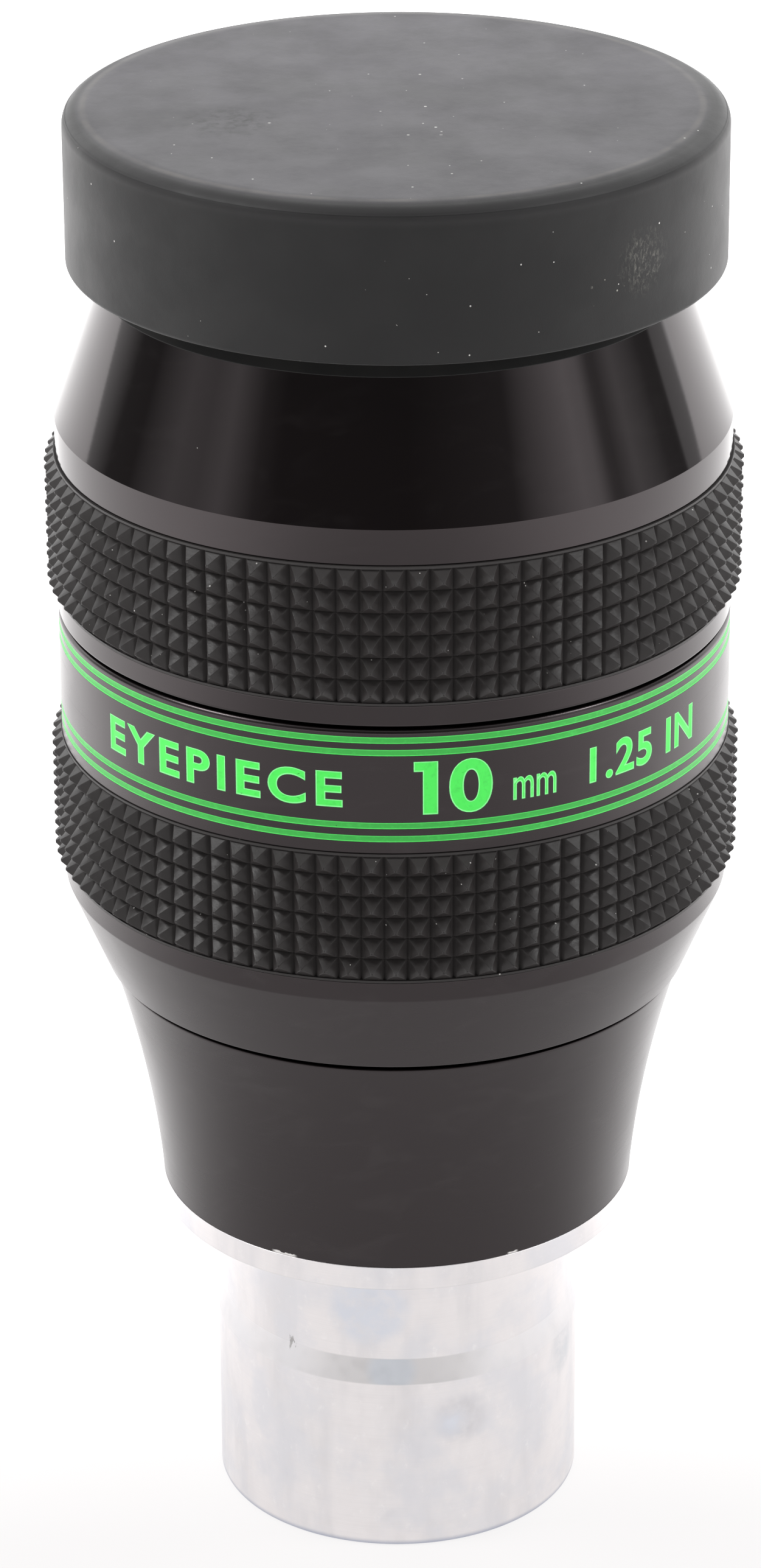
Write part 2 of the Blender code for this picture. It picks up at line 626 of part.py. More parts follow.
def eyeguard_sleeve():
    outline = [
        (RIM_INNER_R, RIM_TOP_Z), (RIM_R + RIM_BEAD, RIM_TOP_Z),
        (RIM_R + RIM_BEAD, RIM_BEAD_LOW_Z), (RIM_R, RIM_BEAD_LOW_Z),
        (RIM_R, CONE_TOP_Z), (CONE_TOP_R, CONE_TOP_Z), (CONE_LOW_R, CONE_LOW_Z),
        (SLEEVE_BAND_R, SLEEVE_BAND_TOP_Z), (SLEEVE_BAND_R, UPPER_GROOVE_TOP_Z),
        (GRIP_GROOVE_R, UPPER_GROOVE_TOP_Z), (GRIP_GROOVE_R, UPPER_GROOVE_LOW_Z),
        (SLEEVE_LIP_R, UPPER_GROOVE_LOW_Z), (SLEEVE_LIP_R, SLEEVE_LOW_Z + SLEEVE_EDGE),
        (SLEEVE_LIP_R - SLEEVE_EDGE, SLEEVE_LOW_Z), (SLEEVE_BORE_R, SLEEVE_LOW_Z),
        (SLEEVE_BORE_R, SLEEVE_SHOULDER_Z), (SLEEVE_THROAT_R, SLEEVE_SHOULDER_Z),
        (SLEEVE_THROAT_R, SLEEVE_THROAT_TOP_Z), (SLEEVE_NECK_R, SLEEVE_NECK_Z),
        (RIM_INNER_R, RIM_INNER_Z),
    ]
    return turned("eyeguard_sleeve", outline, GLOSS_BLACK)


def eyecup():
    """The rubber eyecup: its base snaps over the sleeve's rim, its skirt folds at a thin waist."""
    bead_r = EYECUP_BEAD_R
    bead_centre = (EYECUP_TOP_R - bead_r, EYECUP_TOP_Z - bead_r)
    bead = arc(bead_centre, bead_r, 150, -45, parts=5)
    hook_r = RIM_R + GAP
    clear_r = RIM_R + RIM_BEAD + GAP
    outline = [
        *bead, (EYECUP_FOLD_R, EYECUP_FOLD_Z), (EYECUP_BASE_R, EYECUP_BASE_TOP_Z),
        (EYECUP_BASE_R, EYECUP_LOW_Z), (hook_r, EYECUP_LOW_Z), (hook_r, RIM_BEAD_LOW_Z - GAP),
        (clear_r, RIM_BEAD_LOW_Z - GAP), (clear_r, RIM_TOP_Z + GAP),
        (EYECUP_LIP_R, RIM_TOP_Z + GAP), (EYECUP_LIP_R, EYECUP_LIP_TOP_Z),
        (EYECUP_FOLD_R - EYECUP_WALL, EYECUP_FOLD_Z),
    ]
    return turned("eyecup", outline, GRIP_RUBBER)


def dust_cap():
    top_centre = (CAP_R - CAP_TOP_FILLET, CAP_TOP_Z - CAP_TOP_FILLET)
    rim_centre = (CAP_R - CAP_RIM_FILLET, CAP_LOW_Z + CAP_RIM_FILLET)
    outline = [
        (0.0, CAP_TOP_Z),
        *arc(top_centre, CAP_TOP_FILLET, 90, 0, parts=3),
        *arc(rim_centre, CAP_RIM_FILLET, 0, -90, parts=2),
        (CAP_INNER_R, CAP_LOW_Z), (CAP_INNER_R, CAP_CEILING_Z), (0.0, CAP_CEILING_Z),
    ]
    piece = turned("dust_cap", outline, CAP_RUBBER, closed=False)
    piece.location.x = CAP_SHIFT_X
    return piece


def height_of(empty):
    """The height of an empty above the barrel's lower face, through its parents."""
    above = height_of(empty.parent) if empty.parent else 0.0
    return above + empty.location.z


def hang_on(empty, *pieces):
    """Parent pieces to an empty on the optical axis, and leave them where they are."""
    for piece in pieces:
        piece.parent = empty
        piece.location.z -= height_of(empty)


def joint_empty(name, height, parent=None):
    """An empty on the optical axis, at the height where a joint acts."""
    empty = bpy.data.objects.new(name, None)
    empty.empty_display_size = EMPTY_SIZE
    empty.location.z = height
    EYEPIECE.objects.link(empty)
    if parent:
        hang_on(parent, empty)
    return empty


def build():
    nosepiece()
    lower_cell()
    lower_lens_retainer()
    lower_lenses()
    field_stop()
    lower_housing()
    main_housing()
    grip("lower_grip", LOWER_GROOVE_LOW_Z, LOWER_GROOVE_TOP_Z)
    lower_optical_barrel()
    upper_optical_barrel()
    eye_lens_cell()
    barrel_clamp_ring()
    upper_optics()
    eye_lens_retainer()
    top_stop_ring()

    slide = joint_empty("eyeguard_slide_axis", COLLET_LOW_Z)
    twist = joint_empty("eyeguard_twist_axis", COLLET_TOP_Z, slide)
    lift = joint_empty("cap_lift_axis", CAP_LOW_Z, twist)
    pins = [guide_pin(number, angle) for number, angle in enumerate(guide_angles(), 1)]
    hang_on(slide, locking_collet(), friction_ring(), *pins)
    upper_grip = grip("upper_grip", UPPER_GROOVE_LOW_Z, UPPER_GROOVE_TOP_Z)
    hang_on(twist, eyeguard_sleeve(), upper_grip, eyecup(), collet_retaining_ring())
    hang_on(lift, dust_cap())


clear_scene()
EYEPIECE = new_collection("telescope_eyepiece")
CUTTERS = new_collection("cutters", hidden=True)
build()
bpy.context.view_layer.update()
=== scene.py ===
"""Looks for the telescope eyepiece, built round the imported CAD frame.

The scene is in metres; constants and outlines are in millimetres unless they say otherwise. +Z runs
up the optical axis and -Y is the front. An outline's corners are (radius, height) or (radius,
height, fillet). Turned pieces are lathed; the grips, the engraved label and the stripes are
modelled; every finish is made of nodes.
"""

import math

import bmesh
import bpy
from mathutils import Matrix, Vector


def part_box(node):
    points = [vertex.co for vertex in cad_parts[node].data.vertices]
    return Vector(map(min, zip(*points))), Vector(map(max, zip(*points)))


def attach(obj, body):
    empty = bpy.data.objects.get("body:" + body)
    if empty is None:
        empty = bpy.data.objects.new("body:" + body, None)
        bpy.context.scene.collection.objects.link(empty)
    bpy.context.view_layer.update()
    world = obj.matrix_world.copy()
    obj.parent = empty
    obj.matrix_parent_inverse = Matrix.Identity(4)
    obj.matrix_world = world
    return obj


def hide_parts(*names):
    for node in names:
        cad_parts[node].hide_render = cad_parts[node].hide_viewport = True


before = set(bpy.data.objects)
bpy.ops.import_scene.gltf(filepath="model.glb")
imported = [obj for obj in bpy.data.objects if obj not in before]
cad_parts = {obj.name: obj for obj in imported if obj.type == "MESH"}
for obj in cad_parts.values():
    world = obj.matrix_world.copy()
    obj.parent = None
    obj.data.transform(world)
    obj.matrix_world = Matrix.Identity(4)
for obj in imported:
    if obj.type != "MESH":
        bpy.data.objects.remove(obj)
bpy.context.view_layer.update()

MM = 0.001  # a millimetre in metres
STEPS = 256  # facets round an outer piece
INNER_STEPS = 128  # facets round an inner piece
FILLET_PARTS = 6  # straight parts of a rounded corner
DOME_PARTS = 20  # rings of a lens face
SUPPORT = 0.04  # how near to a corner a shading support line runs
SHARP_ANGLE = math.radians(32)

# Nosepiece
BARREL_R = 15.85
BARREL_TAPER_Z = (16.2, 18.5)
UNDERCUT_R = 15.4
FLANGE_R = 20.5
FLANGE_Z = (28.1, 30.3)
NECK_R = 16.5  # the part inside the lower housing
BORE_R = 13.7
FILTER_THREAD_R = 14.25
FILTER_THREAD_DEPTH = 0.33
FILTER_THREAD_START = 0.5  # above the barrel's end
FILTER_THREAD_PITCH = 0.6
FILTER_THREAD_TURNS = 8
BLOTCHES = (  # azimuth, radius, height, reach, colour
    (-9.5, UNDERCUT_R, 23.3, 4.2, (0.705, 0.725, 0.785)),
    (20.0, BARREL_R, 12.4, 3.2, (0.68, 0.665, 0.685)),
    (17.0, BARREL_R, 12.0, 2.1, (0.73, 0.75, 0.81)),
    (66.0, BARREL_R, 14.5, 3.0, (0.66, 0.665, 0.69)),
)

# Lower housing, whose flare's radius is a parabola over the height
FLARE_LOW_Z = 30.31
FLARE_TOP_Z = 51.15
FLARE_MIDDLE_Z = 32.0
FLARE_COEFFICIENTS = (20.6, 0.1031, 0.00539)
FLARE_PARTS = 28
CHIPS = ((-28.0, 1.3, 0.5), (28.7, 0.6, 0.3))  # on the flare's edge: azimuth, reach, softness

# Main housing, its stripes and its label
HOUSING_R = 28.25
HOUSING_LOW_Z = 51.67
HOUSING_TOP_Z = 83.36
STRIPE_HEIGHTS = (82.48, 81.4, 75.0, 73.85)
STRIPE_WIDTH = 0.58
STRIPE_DEPTH = 0.07
STRIPE_SLOPE = 0.03  # how far the groove's sides lean in
STRIPE_PAINT = (0.008, 0.032, 0.04)  # the paint's depth at its edge, shoulder and middle
STRIPE_GAP = 0.01  # between the paint and the groove's sides, and under it
STRIPE_LIFT = 0.004
LABEL_DEPTH = 0.12
LABEL_PAINT = (-0.045, -0.012)  # the paint's height on the letters and at their outline
LABEL_RIM = 0.1  # how wide the paler outline, a painted highlight, is
LABEL_CLEARANCE = 0.3  # how far the engraving cutters stand out
NEARLY_ZERO = 1e-5  # points of the letters nearer than this are one
LABEL_CUTS = 2  # strips to a millimetre, so that letters can be bent
SURFACE_COSINE = 0.995  # of how far a face of the housing's surface may tilt
SURFACE_REACH = 0.01  # how far off it may lie
PAINT_LIFT = 0.02  # between the paint and the engraving's floor
LABEL = (  # text, first and last azimuth, middle height, size, spacing, weight
    ("EYEPIECE", -55.7, -8.6, 78.08, 3.2, 1.25, 0.035),
    ("1", 3.0, 7.0, 78.28, 4.65, 1.0, 0.0),
    ("0", 8.8, 16.1, 78.28, 4.75, 1.0, 0.035),
    ("mm", 19.6, 27.4, 77.5, 2.0, 1.0, 0.015),
    ("1.25 IN", 33.8, 60.0, 78.08, 3.2, 1.1, 0.035),
)
ONE_FLAG = 0.19  # the digit 1's flag and stem, as shares of its height and width
ONE_STEM = 0.63

# Rubber grips
GRIP_GROOVE_R = 27.2  # the metal under the rubber
GRIP_CLEARANCE = 0.02
GRIP_ROOT_R = 28.2
GRIP_TIP_R = 29.13
GRIP_RIM_R = 28.33
GRIP_RIM = 0.22  # how wide the rims are, and how far their sides lean
GRIP_RIM_SLOPE = 0.02
GRIP_ROWS = 6
GRIP_COLUMNS = 94
GRIP_TIP_HALF = 0.1  # half of a pyramid's blunt tip, and how far its middle dips
GRIP_TIP_DIMPLE = 0.07
GRIP_ROUNDING = 0.035
GRIP_GROOVE_HALF = 0.19  # the grooves between columns, and how far they sink
GRIP_GROOVE_DEEP = 0.25
GRIP_ROW_GAP_HALF = 0.08
GRIP_ROW_DEEP = 0.15
LOWER_GRIP_Z = (61.0, 72.5)
UPPER_GRIP_Z = (85.5, 97.4)

# Eyeguard sleeve and dust cap
SLEEVE_LOW_Z = 83.62
SLEEVE_BAND_R = 28.15
CAP_INNER_R = 25.95
CAP_CEILING_Z = 125.2
CAP_SHOULDER = 2.0  # how far in the cap's rolled edge begins
CAP_DUST = ((35.0, 5.0, 6.0), (150.0, 7.0, 4.0), (-70.0, 12.0, 3.5))  # azimuth, radius, reach
CAP_CRUMBS = ((38.0, 8.6, 2.0), (33.0, 9.6, 1.6), (21.0, 9.8, 1.2))  # azimuth, drop, reach

# Inner pieces
KEYWAYS = 3  # in the upper optical barrel, for the guide pins
KEYWAY_Z = 95.0
KEYWAY_SIZE = (3.4, 2.6, 13.6)
NOTCH = (1.6, 2.0)  # width and height of the cuts for a spanner in the threaded rings

# Camera, found from the barrel's, flange's and grips' known sizes
CAMERA_BACK = 442.7 * MM
CAMERA_HEIGHT = 264.9 * MM
CAMERA_PITCH = math.radians(24.191)
CAMERA_YAW = math.radians(0.163)
CAMERA_ROLL = math.radians(-0.31)
CAMERA_LENS = 130.54
CAMERA_SENSOR = 36.0
CAMERA_CLIP = (0.01, 20.0)  # metres

# Studio: how bright the surroundings are by azimuth, in degrees from the front, + to the right
STUDIO = (
    (-180, 1.5), (-159, 1.65), (-137, 2.2), (-129, 2.05), (-125, 0.95), (-116, 0.57), (-108, 0.17),
    (-97, 0.17), (-79, 0.76), (-69, 0.68), (-60, 0.92), (-48, 0.27), (-40, 0.14), (5, 0.12),
    (41, 0.25), (48, 0.66), (66, 1.57), (72, 1.36), (77, 0.5), (80, 0.43), (88, 0.88),
    (103, 0.25), (111, 0.17), (112.5, 0.7), (121.5, 0.72), (123.5, 2.1), (137, 2.15),
    (160, 1.69), (180, 1.5),
)
UPPER_LIMIT = 2.3  # how bright the panels may be once past these elevations
UPPER_FADE = (6, 26)
OVERHEAD = 0.7  # the even brightness above these elevations
OVERHEAD_FADE = (42, 60)
BACKDROP = 1.1  # how bright the surroundings look to the camera
SOFTBOXES = (  # name, azimuth, width in metres, watts
    ("left_softbox", -80.0, 0.26, 3.2),
    ("right_softbox", 83.0, 0.16, 1.8),
)
SOFTBOX_RISE = math.radians(-50)
SOFTBOX_AWAY = 0.9  # metres, as are the sizes below
SOFTBOX_HEIGHT = 0.2
FLOOR_SIZE = 5.4
FLOOR_FRONT = (0.0, -0.14, 0.0)  # the floor glows least near here
FLOOR_NEAR = 0.12
FLOOR_FAR = 0.27
FLOOR_GLOW = (0.85, 1.95)  # within FLOOR_NEAR and past FLOOR_FAR

DUST_COLOUR = (0.55, 0.54, 0.52)
scene = bpy.context.scene


def span(node):
    """Lowest height, highest height and outer radius of a turned CAD node, in mm."""
    low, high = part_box(node)
    return low.z / MM, high.z / MM, (high.x - low.x) / 2 / MM


# -------- finishes

def feed(tree, socket, value):
    """Link a socket to another one, or set its value."""
    if isinstance(value, bpy.types.NodeSocket):
        tree.links.new(value, socket)
    else:
        socket.default_value = value


def add_node(tree, kind, inputs=None, **settings):
    node = tree.nodes.new("ShaderNode" + kind)
    for key, value in settings.items():
        setattr(node, key, value)
    for key, value in (inputs or {}).items():
        feed(tree, node.inputs[key], value)
    return node


class Finish:
    """A Principled material, built up with short calls. Sizes are in millimetres."""

    def __init__(self, name, colour, roughness, **settings):
        self.material = bpy.data.materials.new(name)
        self.material.use_nodes = True
        self.tree = self.material.node_tree
        self.surface = self.tree.nodes["Principled BSDF"]
        self.place = self.add("TexCoord").outputs["Object"]
        self.colour = (*colour, 1.0)
        self.roughness = roughness
        self.normal = None
        for socket, value in settings.items():
            self.surface.inputs[socket.replace("_", " ")].default_value = value

    def add(self, kind, inputs=None, **settings):
        return add_node(self.tree, kind, inputs, **settings)

    def math(self, operation, a, b):
        return self.add("Math", {0: a, 1: b}, operation=operation).outputs[0]

    def product(self, value, *others):
        for other in others:
            value = self.math("MULTIPLY", value, other)
        return value

    def ramp(self, value, low, high, at_low=0.0, at_high=1.0):
        """A smooth step of value from low to high, and the results there."""
        inputs = {"Value": value, "From Min": low, "From Max": high,
                  "To Min": at_low, "To Max": at_high}
        return self.add("MapRange", inputs, interpolation_type="SMOOTHSTEP").outputs[0]

    def step(self, value, low, high, *ends):
        """A ramp whose value is a length, between bounds in millimetres."""
        return self.ramp(value, low * MM, high * MM, *ends)

    def stretched(self, x=1.0, y=1.0, z=1.0, turn=(0.0, 0.0, 0.0)):
        """The place, turned and then scaled along each axis."""
        turned = self.add("Mapping", {"Vector": self.place, "Rotation": turn}).outputs[0]
        scale = {0: turned, 1: (x, y, z)}
        return self.add("VectorMath", scale, operation="MULTIPLY").outputs[0]

    def noise(self, size, detail=2.0, roughness=0.5, place=None, distortion=0.0):
        inputs = {"Vector": place or self.place, "Scale": 1.0 / (size * MM), "Detail": detail,
                  "Roughness": roughness, "Distortion": distortion}
        return self.add("TexNoise", inputs).outputs[0]

    def turning(self, size):
        """Lines round the axis, size apart, as a lathe tool leaves them."""
        return self.noise(size, 3.0, 0.7, self.stretched(0.01, 0.01, 1.0))

    def specks(self, spacing, size, share, place=None):
        """1 inside scattered grains of up to that radius; share of the cells hold one."""
        inputs = {"Vector": place or self.place, "Scale": 1.0 / (spacing * MM)}
        cells = self.add("TexVoronoi", inputs)
        chance = self.add("SeparateColor", {"Color": cells.outputs["Color"]})
        reach = self.math("MULTIPLY", chance.outputs["Green"], size / spacing)
        inside = self.math("LESS_THAN", cells.outputs["Distance"], reach)
        chosen = self.math("LESS_THAN", chance.outputs["Red"], share)
        return self.product(inside, chosen)

    def near(self, azimuth, radius, height, reach, softness):
        """1 near a spot on the surface, and 0 beyond reach."""
        angle = math.radians(azimuth)
        spot = (radius * MM * math.sin(angle), -radius * MM * math.cos(angle), height * MM)
        distance = self.add("VectorMath", {0: self.place, 1: spot}, operation="DISTANCE")
        return self.step(distance.outputs["Value"], reach, reach - softness)

    def height(self):
        return self.add("SeparateXYZ", {"Vector": self.place}).outputs["Z"]

    def depth(self):
        return self.add("SeparateXYZ", {"Vector": self.place}).outputs["Y"]

    def radius(self):
        flat = self.stretched(z=0.0)
        return self.add("VectorMath", {0: flat}, operation="LENGTH").outputs["Value"]

    def tint(self, factor, colour):
        """Mix a colour over what is there."""
        inputs = {"Factor": factor, 6: self.colour, 7: (*colour, 1.0)}
        self.colour = self.add("Mix", inputs, data_type="RGBA").outputs[2]

    def roughen(self, factor, roughness):
        """Mix a roughness over what is there."""
        mixed = self.add("Mix", {"Factor": factor, 2: self.roughness, 3: roughness})
        self.roughness = mixed.outputs[0]

    def bump(self, height, depth):
        """Raise the surface by depth where height is 1, on top of earlier bumps."""
        inputs = {"Height": height, "Distance": depth * MM, "Strength": 1.0}
        if self.normal:
            inputs["Normal"] = self.normal
        self.normal = self.add("Bump", inputs).outputs["Normal"]

    def done(self):
        results = {"Base Color": self.colour, "Roughness": self.roughness}
        if self.normal:
            results["Normal"] = self.normal
        for socket, value in results.items():
            feed(self.tree, self.surface.inputs[socket], value)
        return self.material


def add_dust(finish, spacing, size, share):
    """Sparse pale grains and short fibres of dust."""
    grains = finish.specks(spacing, size, share)
    fibres_place = finish.stretched(1.0, 0.6, 0.16, turn=(0.5, 0.9, 0.3))
    fibres = finish.specks(spacing * 0.7, size * 0.3, share * 0.3, fibres_place)
    dust = finish.math("MAXIMUM", grains, fibres)
    finish.tint(dust, DUST_COLOUR)
    finish.roughen(dust, 0.9)


def black_anodised_finish(name, roughness, marks=0.03):
    """Black anodised aluminium with turning marks, strong by marks. The Finish isn't done yet."""
    finish = Finish(name, (0.002, 0.0012, 0.0012), roughness, IOR=1.53,
                    Specular_Tint=(1.0, 0.88, 0.905, 1.0))
    lines = finish.turning(0.16)
    patches = finish.noise(9.0, 3.0)
    finish.roughen(finish.ramp(patches, 0.35, 0.75), roughness * 1.25)
    haze = finish.noise(6.0, 4.0, 0.55, finish.stretched(z=2.6, turn=(0.3, 0.2, 0.0)), 0.8)
    finish.tint(finish.ramp(haze, 0.5, 0.75, 0.0, marks * 12.0), (0.02, 0.018, 0.018))
    finish.roughen(finish.ramp(lines, 0.55, 0.9, 0.0, 0.5), roughness * 1.7)
    finish.bump(lines, 0.04 * marks)
    add_dust(finish, 2.3, 0.06, 0.25)
    return finish


def chipped_black():
    """The lower housing's anodising, chipped to bright metal at two places on its lower edge."""
    finish = black_anodised_finish("chipped_black", 0.24)
    uneven = finish.ramp(finish.noise(0.9, 3.0, 0.6), 0.3, 0.7, 0.0, 0.16 * MM)
    height = finish.math("SUBTRACT", finish.height(), uneven)
    edge = finish.step(height, FLARE_LOW_Z + 0.14, FLARE_LOW_Z + 0.1)
    spots = [finish.near(azimuth, FLANGE_R, FLARE_LOW_Z, *size) for azimuth, *size in CHIPS]
    chips = finish.math("MAXIMUM", *spots)
    finish.tint(finish.product(edge, chips), (0.85, 0.83, 0.81))
    return finish.done()


def matte_black():
    """Dull black of the inner parts, finely turned."""
    finish = Finish("matte_black", (0.012, 0.012, 0.012), 0.6)
    finish.tint(finish.ramp(finish.noise(4.0, 4.0), 0.3, 0.8), (0.02, 0.019, 0.018))
    finish.bump(finish.turning(0.12), 0.004)
    finish.bump(finish.noise(0.05, 2.0), 0.003)
    return finish.done()


def satin_silver():
    """Satin plated barrel: turning lines, clouds, bluish blotches, a taper greyed by painted shade, and
    a bottom edge in painted shade.
    """
    finish = Finish("satin_silver", (0.84, 0.81, 0.812), 0.36, Metallic=1.0)
    lines = finish.turning(0.1)
    finish.tint(finish.ramp(lines, 0.35, 0.8, 0.0, 0.35), (0.77, 0.745, 0.75))
    brushed = finish.noise(3.4, 4.0, 0.5, finish.stretched(z=0.22))
    finish.tint(finish.ramp(brushed, 0.42, 0.72, 0.0, 0.7), (0.70, 0.685, 0.70))
    cool = finish.noise(6.5, 4.0, 0.6)
    finish.tint(finish.ramp(cool, 0.42, 0.68, 0.0, 0.7), (0.73, 0.73, 0.765))
    bright = finish.noise(0.9, 5.0, 0.7, finish.stretched(z=0.7))
    finish.tint(finish.ramp(bright, 0.56, 0.8, 0.0, 0.6), (0.92, 0.9, 0.9))
    ragged = finish.ramp(finish.noise(1.6, 4.0, 0.6), 0.3, 0.62, 0.35, 1.0)
    for azimuth, radius, height, reach, colour in BLOTCHES:
        blotch = finish.product(finish.near(azimuth, radius, height, reach, 2.0), ragged)
        finish.tint(blotch, colour)
    height = finish.height()
    taper_low, taper_top = BARREL_TAPER_Z
    above_low = finish.step(height, taper_low - 0.1, taper_low + 0.1)
    below_top = finish.step(height, taper_top + 0.1, taper_top - 0.1)
    taper = finish.product(above_low, below_top)
    # painted shade: the taper, which faces up, is painted greyer ahead and at the sides, and bluish in
    # its middle
    ahead = finish.near(0.0, UNDERCUT_R, 17.4, 11.0, 6.0)
    finish.tint(finish.product(taper, ahead), (0.7, 0.685, 0.69))
    middle = finish.near(-2.0, UNDERCUT_R, 17.4, 2.6, 1.2)
    finish.tint(finish.product(taper, middle), (0.655, 0.68, 0.725))
    aside = finish.math("SUBTRACT", 1.0, ahead)
    finish.tint(finish.product(taper, aside, 0.6), (0.66, 0.65, 0.66))
    scratch = finish.ramp(finish.noise(0.35, 3.0, 0.6, finish.stretched(z=0.35)), 0.56, 0.6)
    scratch = finish.product(scratch, finish.near(-37.0, UNDERCUT_R, 18.5, 0.9, 0.5))
    finish.tint(scratch, (0.42, 0.41, 0.41))
    # painted shade: a dark bluish line along the bottom edge, where the barrel stands on the floor
    rim = finish.step(height, 0.7, 0.15, 0.0, 0.85)
    finish.tint(rim, (0.4, 0.43, 0.52))
    finish.roughen(finish.ramp(finish.noise(1.2, 4.0), 0.4, 0.8), 0.48)
    finish.bump(lines, 0.001)
    finish.bump(finish.noise(0.35, 3.0), 0.003)
    return finish.done()


def grip_rubber():
    """Black rubber: dull grooves, ridges and tips paler (partly rubbed, partly a painted highlight),
    dust and lint.
    """
    finish = Finish("grip_rubber", (0.029, 0.026, 0.0255), 0.35, IOR=1.36)
    radius = finish.radius()
    # the tips and upper ridges are painted paler: partly rubbed wear, partly a painted highlight of
    # light caught by their rounded tips
    second_tone = finish.step(radius, GRIP_TIP_R - 0.35, GRIP_TIP_R)
    patchy = finish.ramp(finish.noise(1.4, 3.0), 0.35, 0.8)
    finish.tint(finish.product(second_tone, patchy), (0.05, 0.048, 0.048))
    groove = finish.step(radius, GRIP_ROOT_R + 0.12, GRIP_ROOT_R - 0.02)
    finish.roughen(groove, 0.8)
    finish.bump(finish.noise(0.12, 3.0), 0.006)
    finish.bump(finish.noise(0.7, 2.0), 0.02)
    lint = finish.specks(1.9, 0.09, 0.3, finish.stretched(z=0.4, turn=(0.4, 0.3, 0.9)))
    finish.tint(lint, (0.2, 0.19, 0.17))
    add_dust(finish, 1.0, 0.08, 0.45)
    return finish.done()


def eyecup_rubber():
    """The folding eyecup's soft, slightly dusty rubber."""
    finish = Finish("eyecup_rubber", (0.016, 0.016, 0.017), 0.62)
    finish.tint(finish.ramp(finish.noise(3.0, 4.0), 0.4, 0.8), (0.026, 0.026, 0.027))
    finish.bump(finish.noise(0.15, 3.0), 0.01)
    add_dust(finish, 1.7, 0.06, 0.3)
    return finish.done()


def cap_rubber():
    """The dust cap's matt moulded rubber: fine grain, a top painted lighter (painted sheen) with dust
    on it, a rolled edge in painted shade, a painted highlight line at its shoulder, smudges and a pale
    scuff.
    """
    finish = Finish("cap_rubber", (0.0065, 0.0065, 0.0067), 0.5, IOR=1.37,
                    Sheen_Weight=0.3, Sheen_Roughness=0.35)
    _, top, side_r = span("dust_cap")
    clouds = finish.noise(7.0, 4.0, 0.6)
    finish.tint(finish.ramp(clouds, 0.4, 0.8, 0.0, 0.6), (0.01, 0.01, 0.0103))
    finish.roughen(finish.ramp(clouds, 0.35, 0.7), 0.6)
    radius = finish.radius()
    shoulder = side_r - CAP_SHOULDER
    above_side = finish.step(finish.height(), top - 1.8, top - 0.9)
    # painted shade: the rolled edge is painted a tone between the sheen-lit top and the dark side
    rolled = finish.product(finish.step(radius, shoulder, shoulder + 0.8), above_side)
    finish.tint(rolled, (0.017, 0.0165, 0.017))
    # painted sheen: the top is painted lighter, mottled and brighter towards the back, for the light it
    # catches at grazing angles
    on_top = finish.product(finish.step(radius, shoulder + 0.9, shoulder - 0.05), above_side)
    painted_sheen_mottle = finish.ramp(finish.noise(8.0, 6.0, 0.72), 0.3, 0.7, 0.55, 1.0)
    ahead = finish.step(finish.depth(), -side_r, side_r, 0.7, 1.0)
    finish.tint(finish.product(on_top, painted_sheen_mottle, ahead), (0.09, 0.086, 0.096))
    # painted highlight: a pale, patchy line along the top's edge where the rolled edge begins
    line_in = finish.step(radius, shoulder - 0.45, shoulder - 0.05)
    line_out = finish.step(radius, shoulder + 0.45, shoulder + 0.05)
    second_tone = finish.ramp(finish.noise(2.4, 4.0), 0.3, 0.7, 0.2, 0.7)
    finish.tint(finish.product(line_in, line_out, second_tone, above_side), (0.11, 0.103, 0.097))
    dust = finish.specks(1.1, 0.15, 0.6)
    for azimuth, away, reach in CAP_DUST:
        finish.tint(finish.product(finish.near(azimuth, away, top, reach, 3.0), dust), DUST_COLOUR)
    finish.bump(finish.noise(0.09, 2.0), 0.006)
    finish.bump(finish.noise(0.9, 3.0), 0.01)
    streaks = finish.noise(0.28, 5.0, 0.75, finish.stretched(z=0.5), 0.6)
    scuff = finish.near(46.0, side_r, top - 7.1, 3.4, 2.6)
    finish.tint(finish.product(scuff, finish.ramp(streaks, 0.47, 0.75)), (0.16, 0.155, 0.135))
    crumbs = finish.specks(0.5, 0.12, 0.4)
    for azimuth, drop, reach in CAP_CRUMBS:
        patch = finish.near(azimuth, side_r, top - drop, reach, 1.0)
        finish.tint(finish.product(patch, crumbs), (0.3, 0.29, 0.26))
    rubbed = finish.ramp(finish.noise(1.1, 5.0, 0.65), 0.4, 0.7)
    smudge = finish.product(finish.near(-68.0, 14.0, top, 5.5, 4.5), rubbed)
    finish.tint(smudge, (0.012, 0.012, 0.012))
    add_dust(finish, 1.1, 0.09, 0.45)
    return finish.done()


def green_paint(name, colour, worn_colour, glow, edge_highlight_colour=None):
    """Bright green paint, worn in patches; its emission is a painted glow for its fluorescence, and its
    edges may get a painted highlight.
    """
    # the emission is a painted glow, standing in for the paint's fluorescence
    finish = Finish(name, colour, 0.42, Emission_Color=(0.2, 1.0, 0.28, 1.0), Emission_Strength=glow)
    # painted highlight: the paint's climbing edges are painted paler
    if edge_highlight_colour:
        edge = finish.step(finish.radius(), HOUSING_R - 0.036, HOUSING_R - 0.015)
        finish.tint(edge, edge_highlight_colour)
    second_tone = finish.ramp(finish.noise(0.6, 4.0, 0.6), 0.48, 0.8, 0.0, 0.8)
    finish.tint(second_tone, worn_colour)
    chips = finish.specks(1.7, 0.1, 0.3)
    finish.tint(chips, [0.25 * part for part in worn_colour])
    finish.bump(finish.noise(0.12, 3.0), 0.004)
    return finish.done()


def metal(name, colour, roughness):
    """Bare turned metal, a little darker in patches."""
    finish = Finish(name, colour, roughness, Metallic=1.0)
    lines = finish.turning(0.12)
    patches = finish.ramp(finish.noise(3.0, 3.0), 0.4, 0.8, 0.0, 0.5)
    finish.tint(patches, [0.8 * part for part in colour])
    finish.bump(lines, 0.002)
    return finish.done()


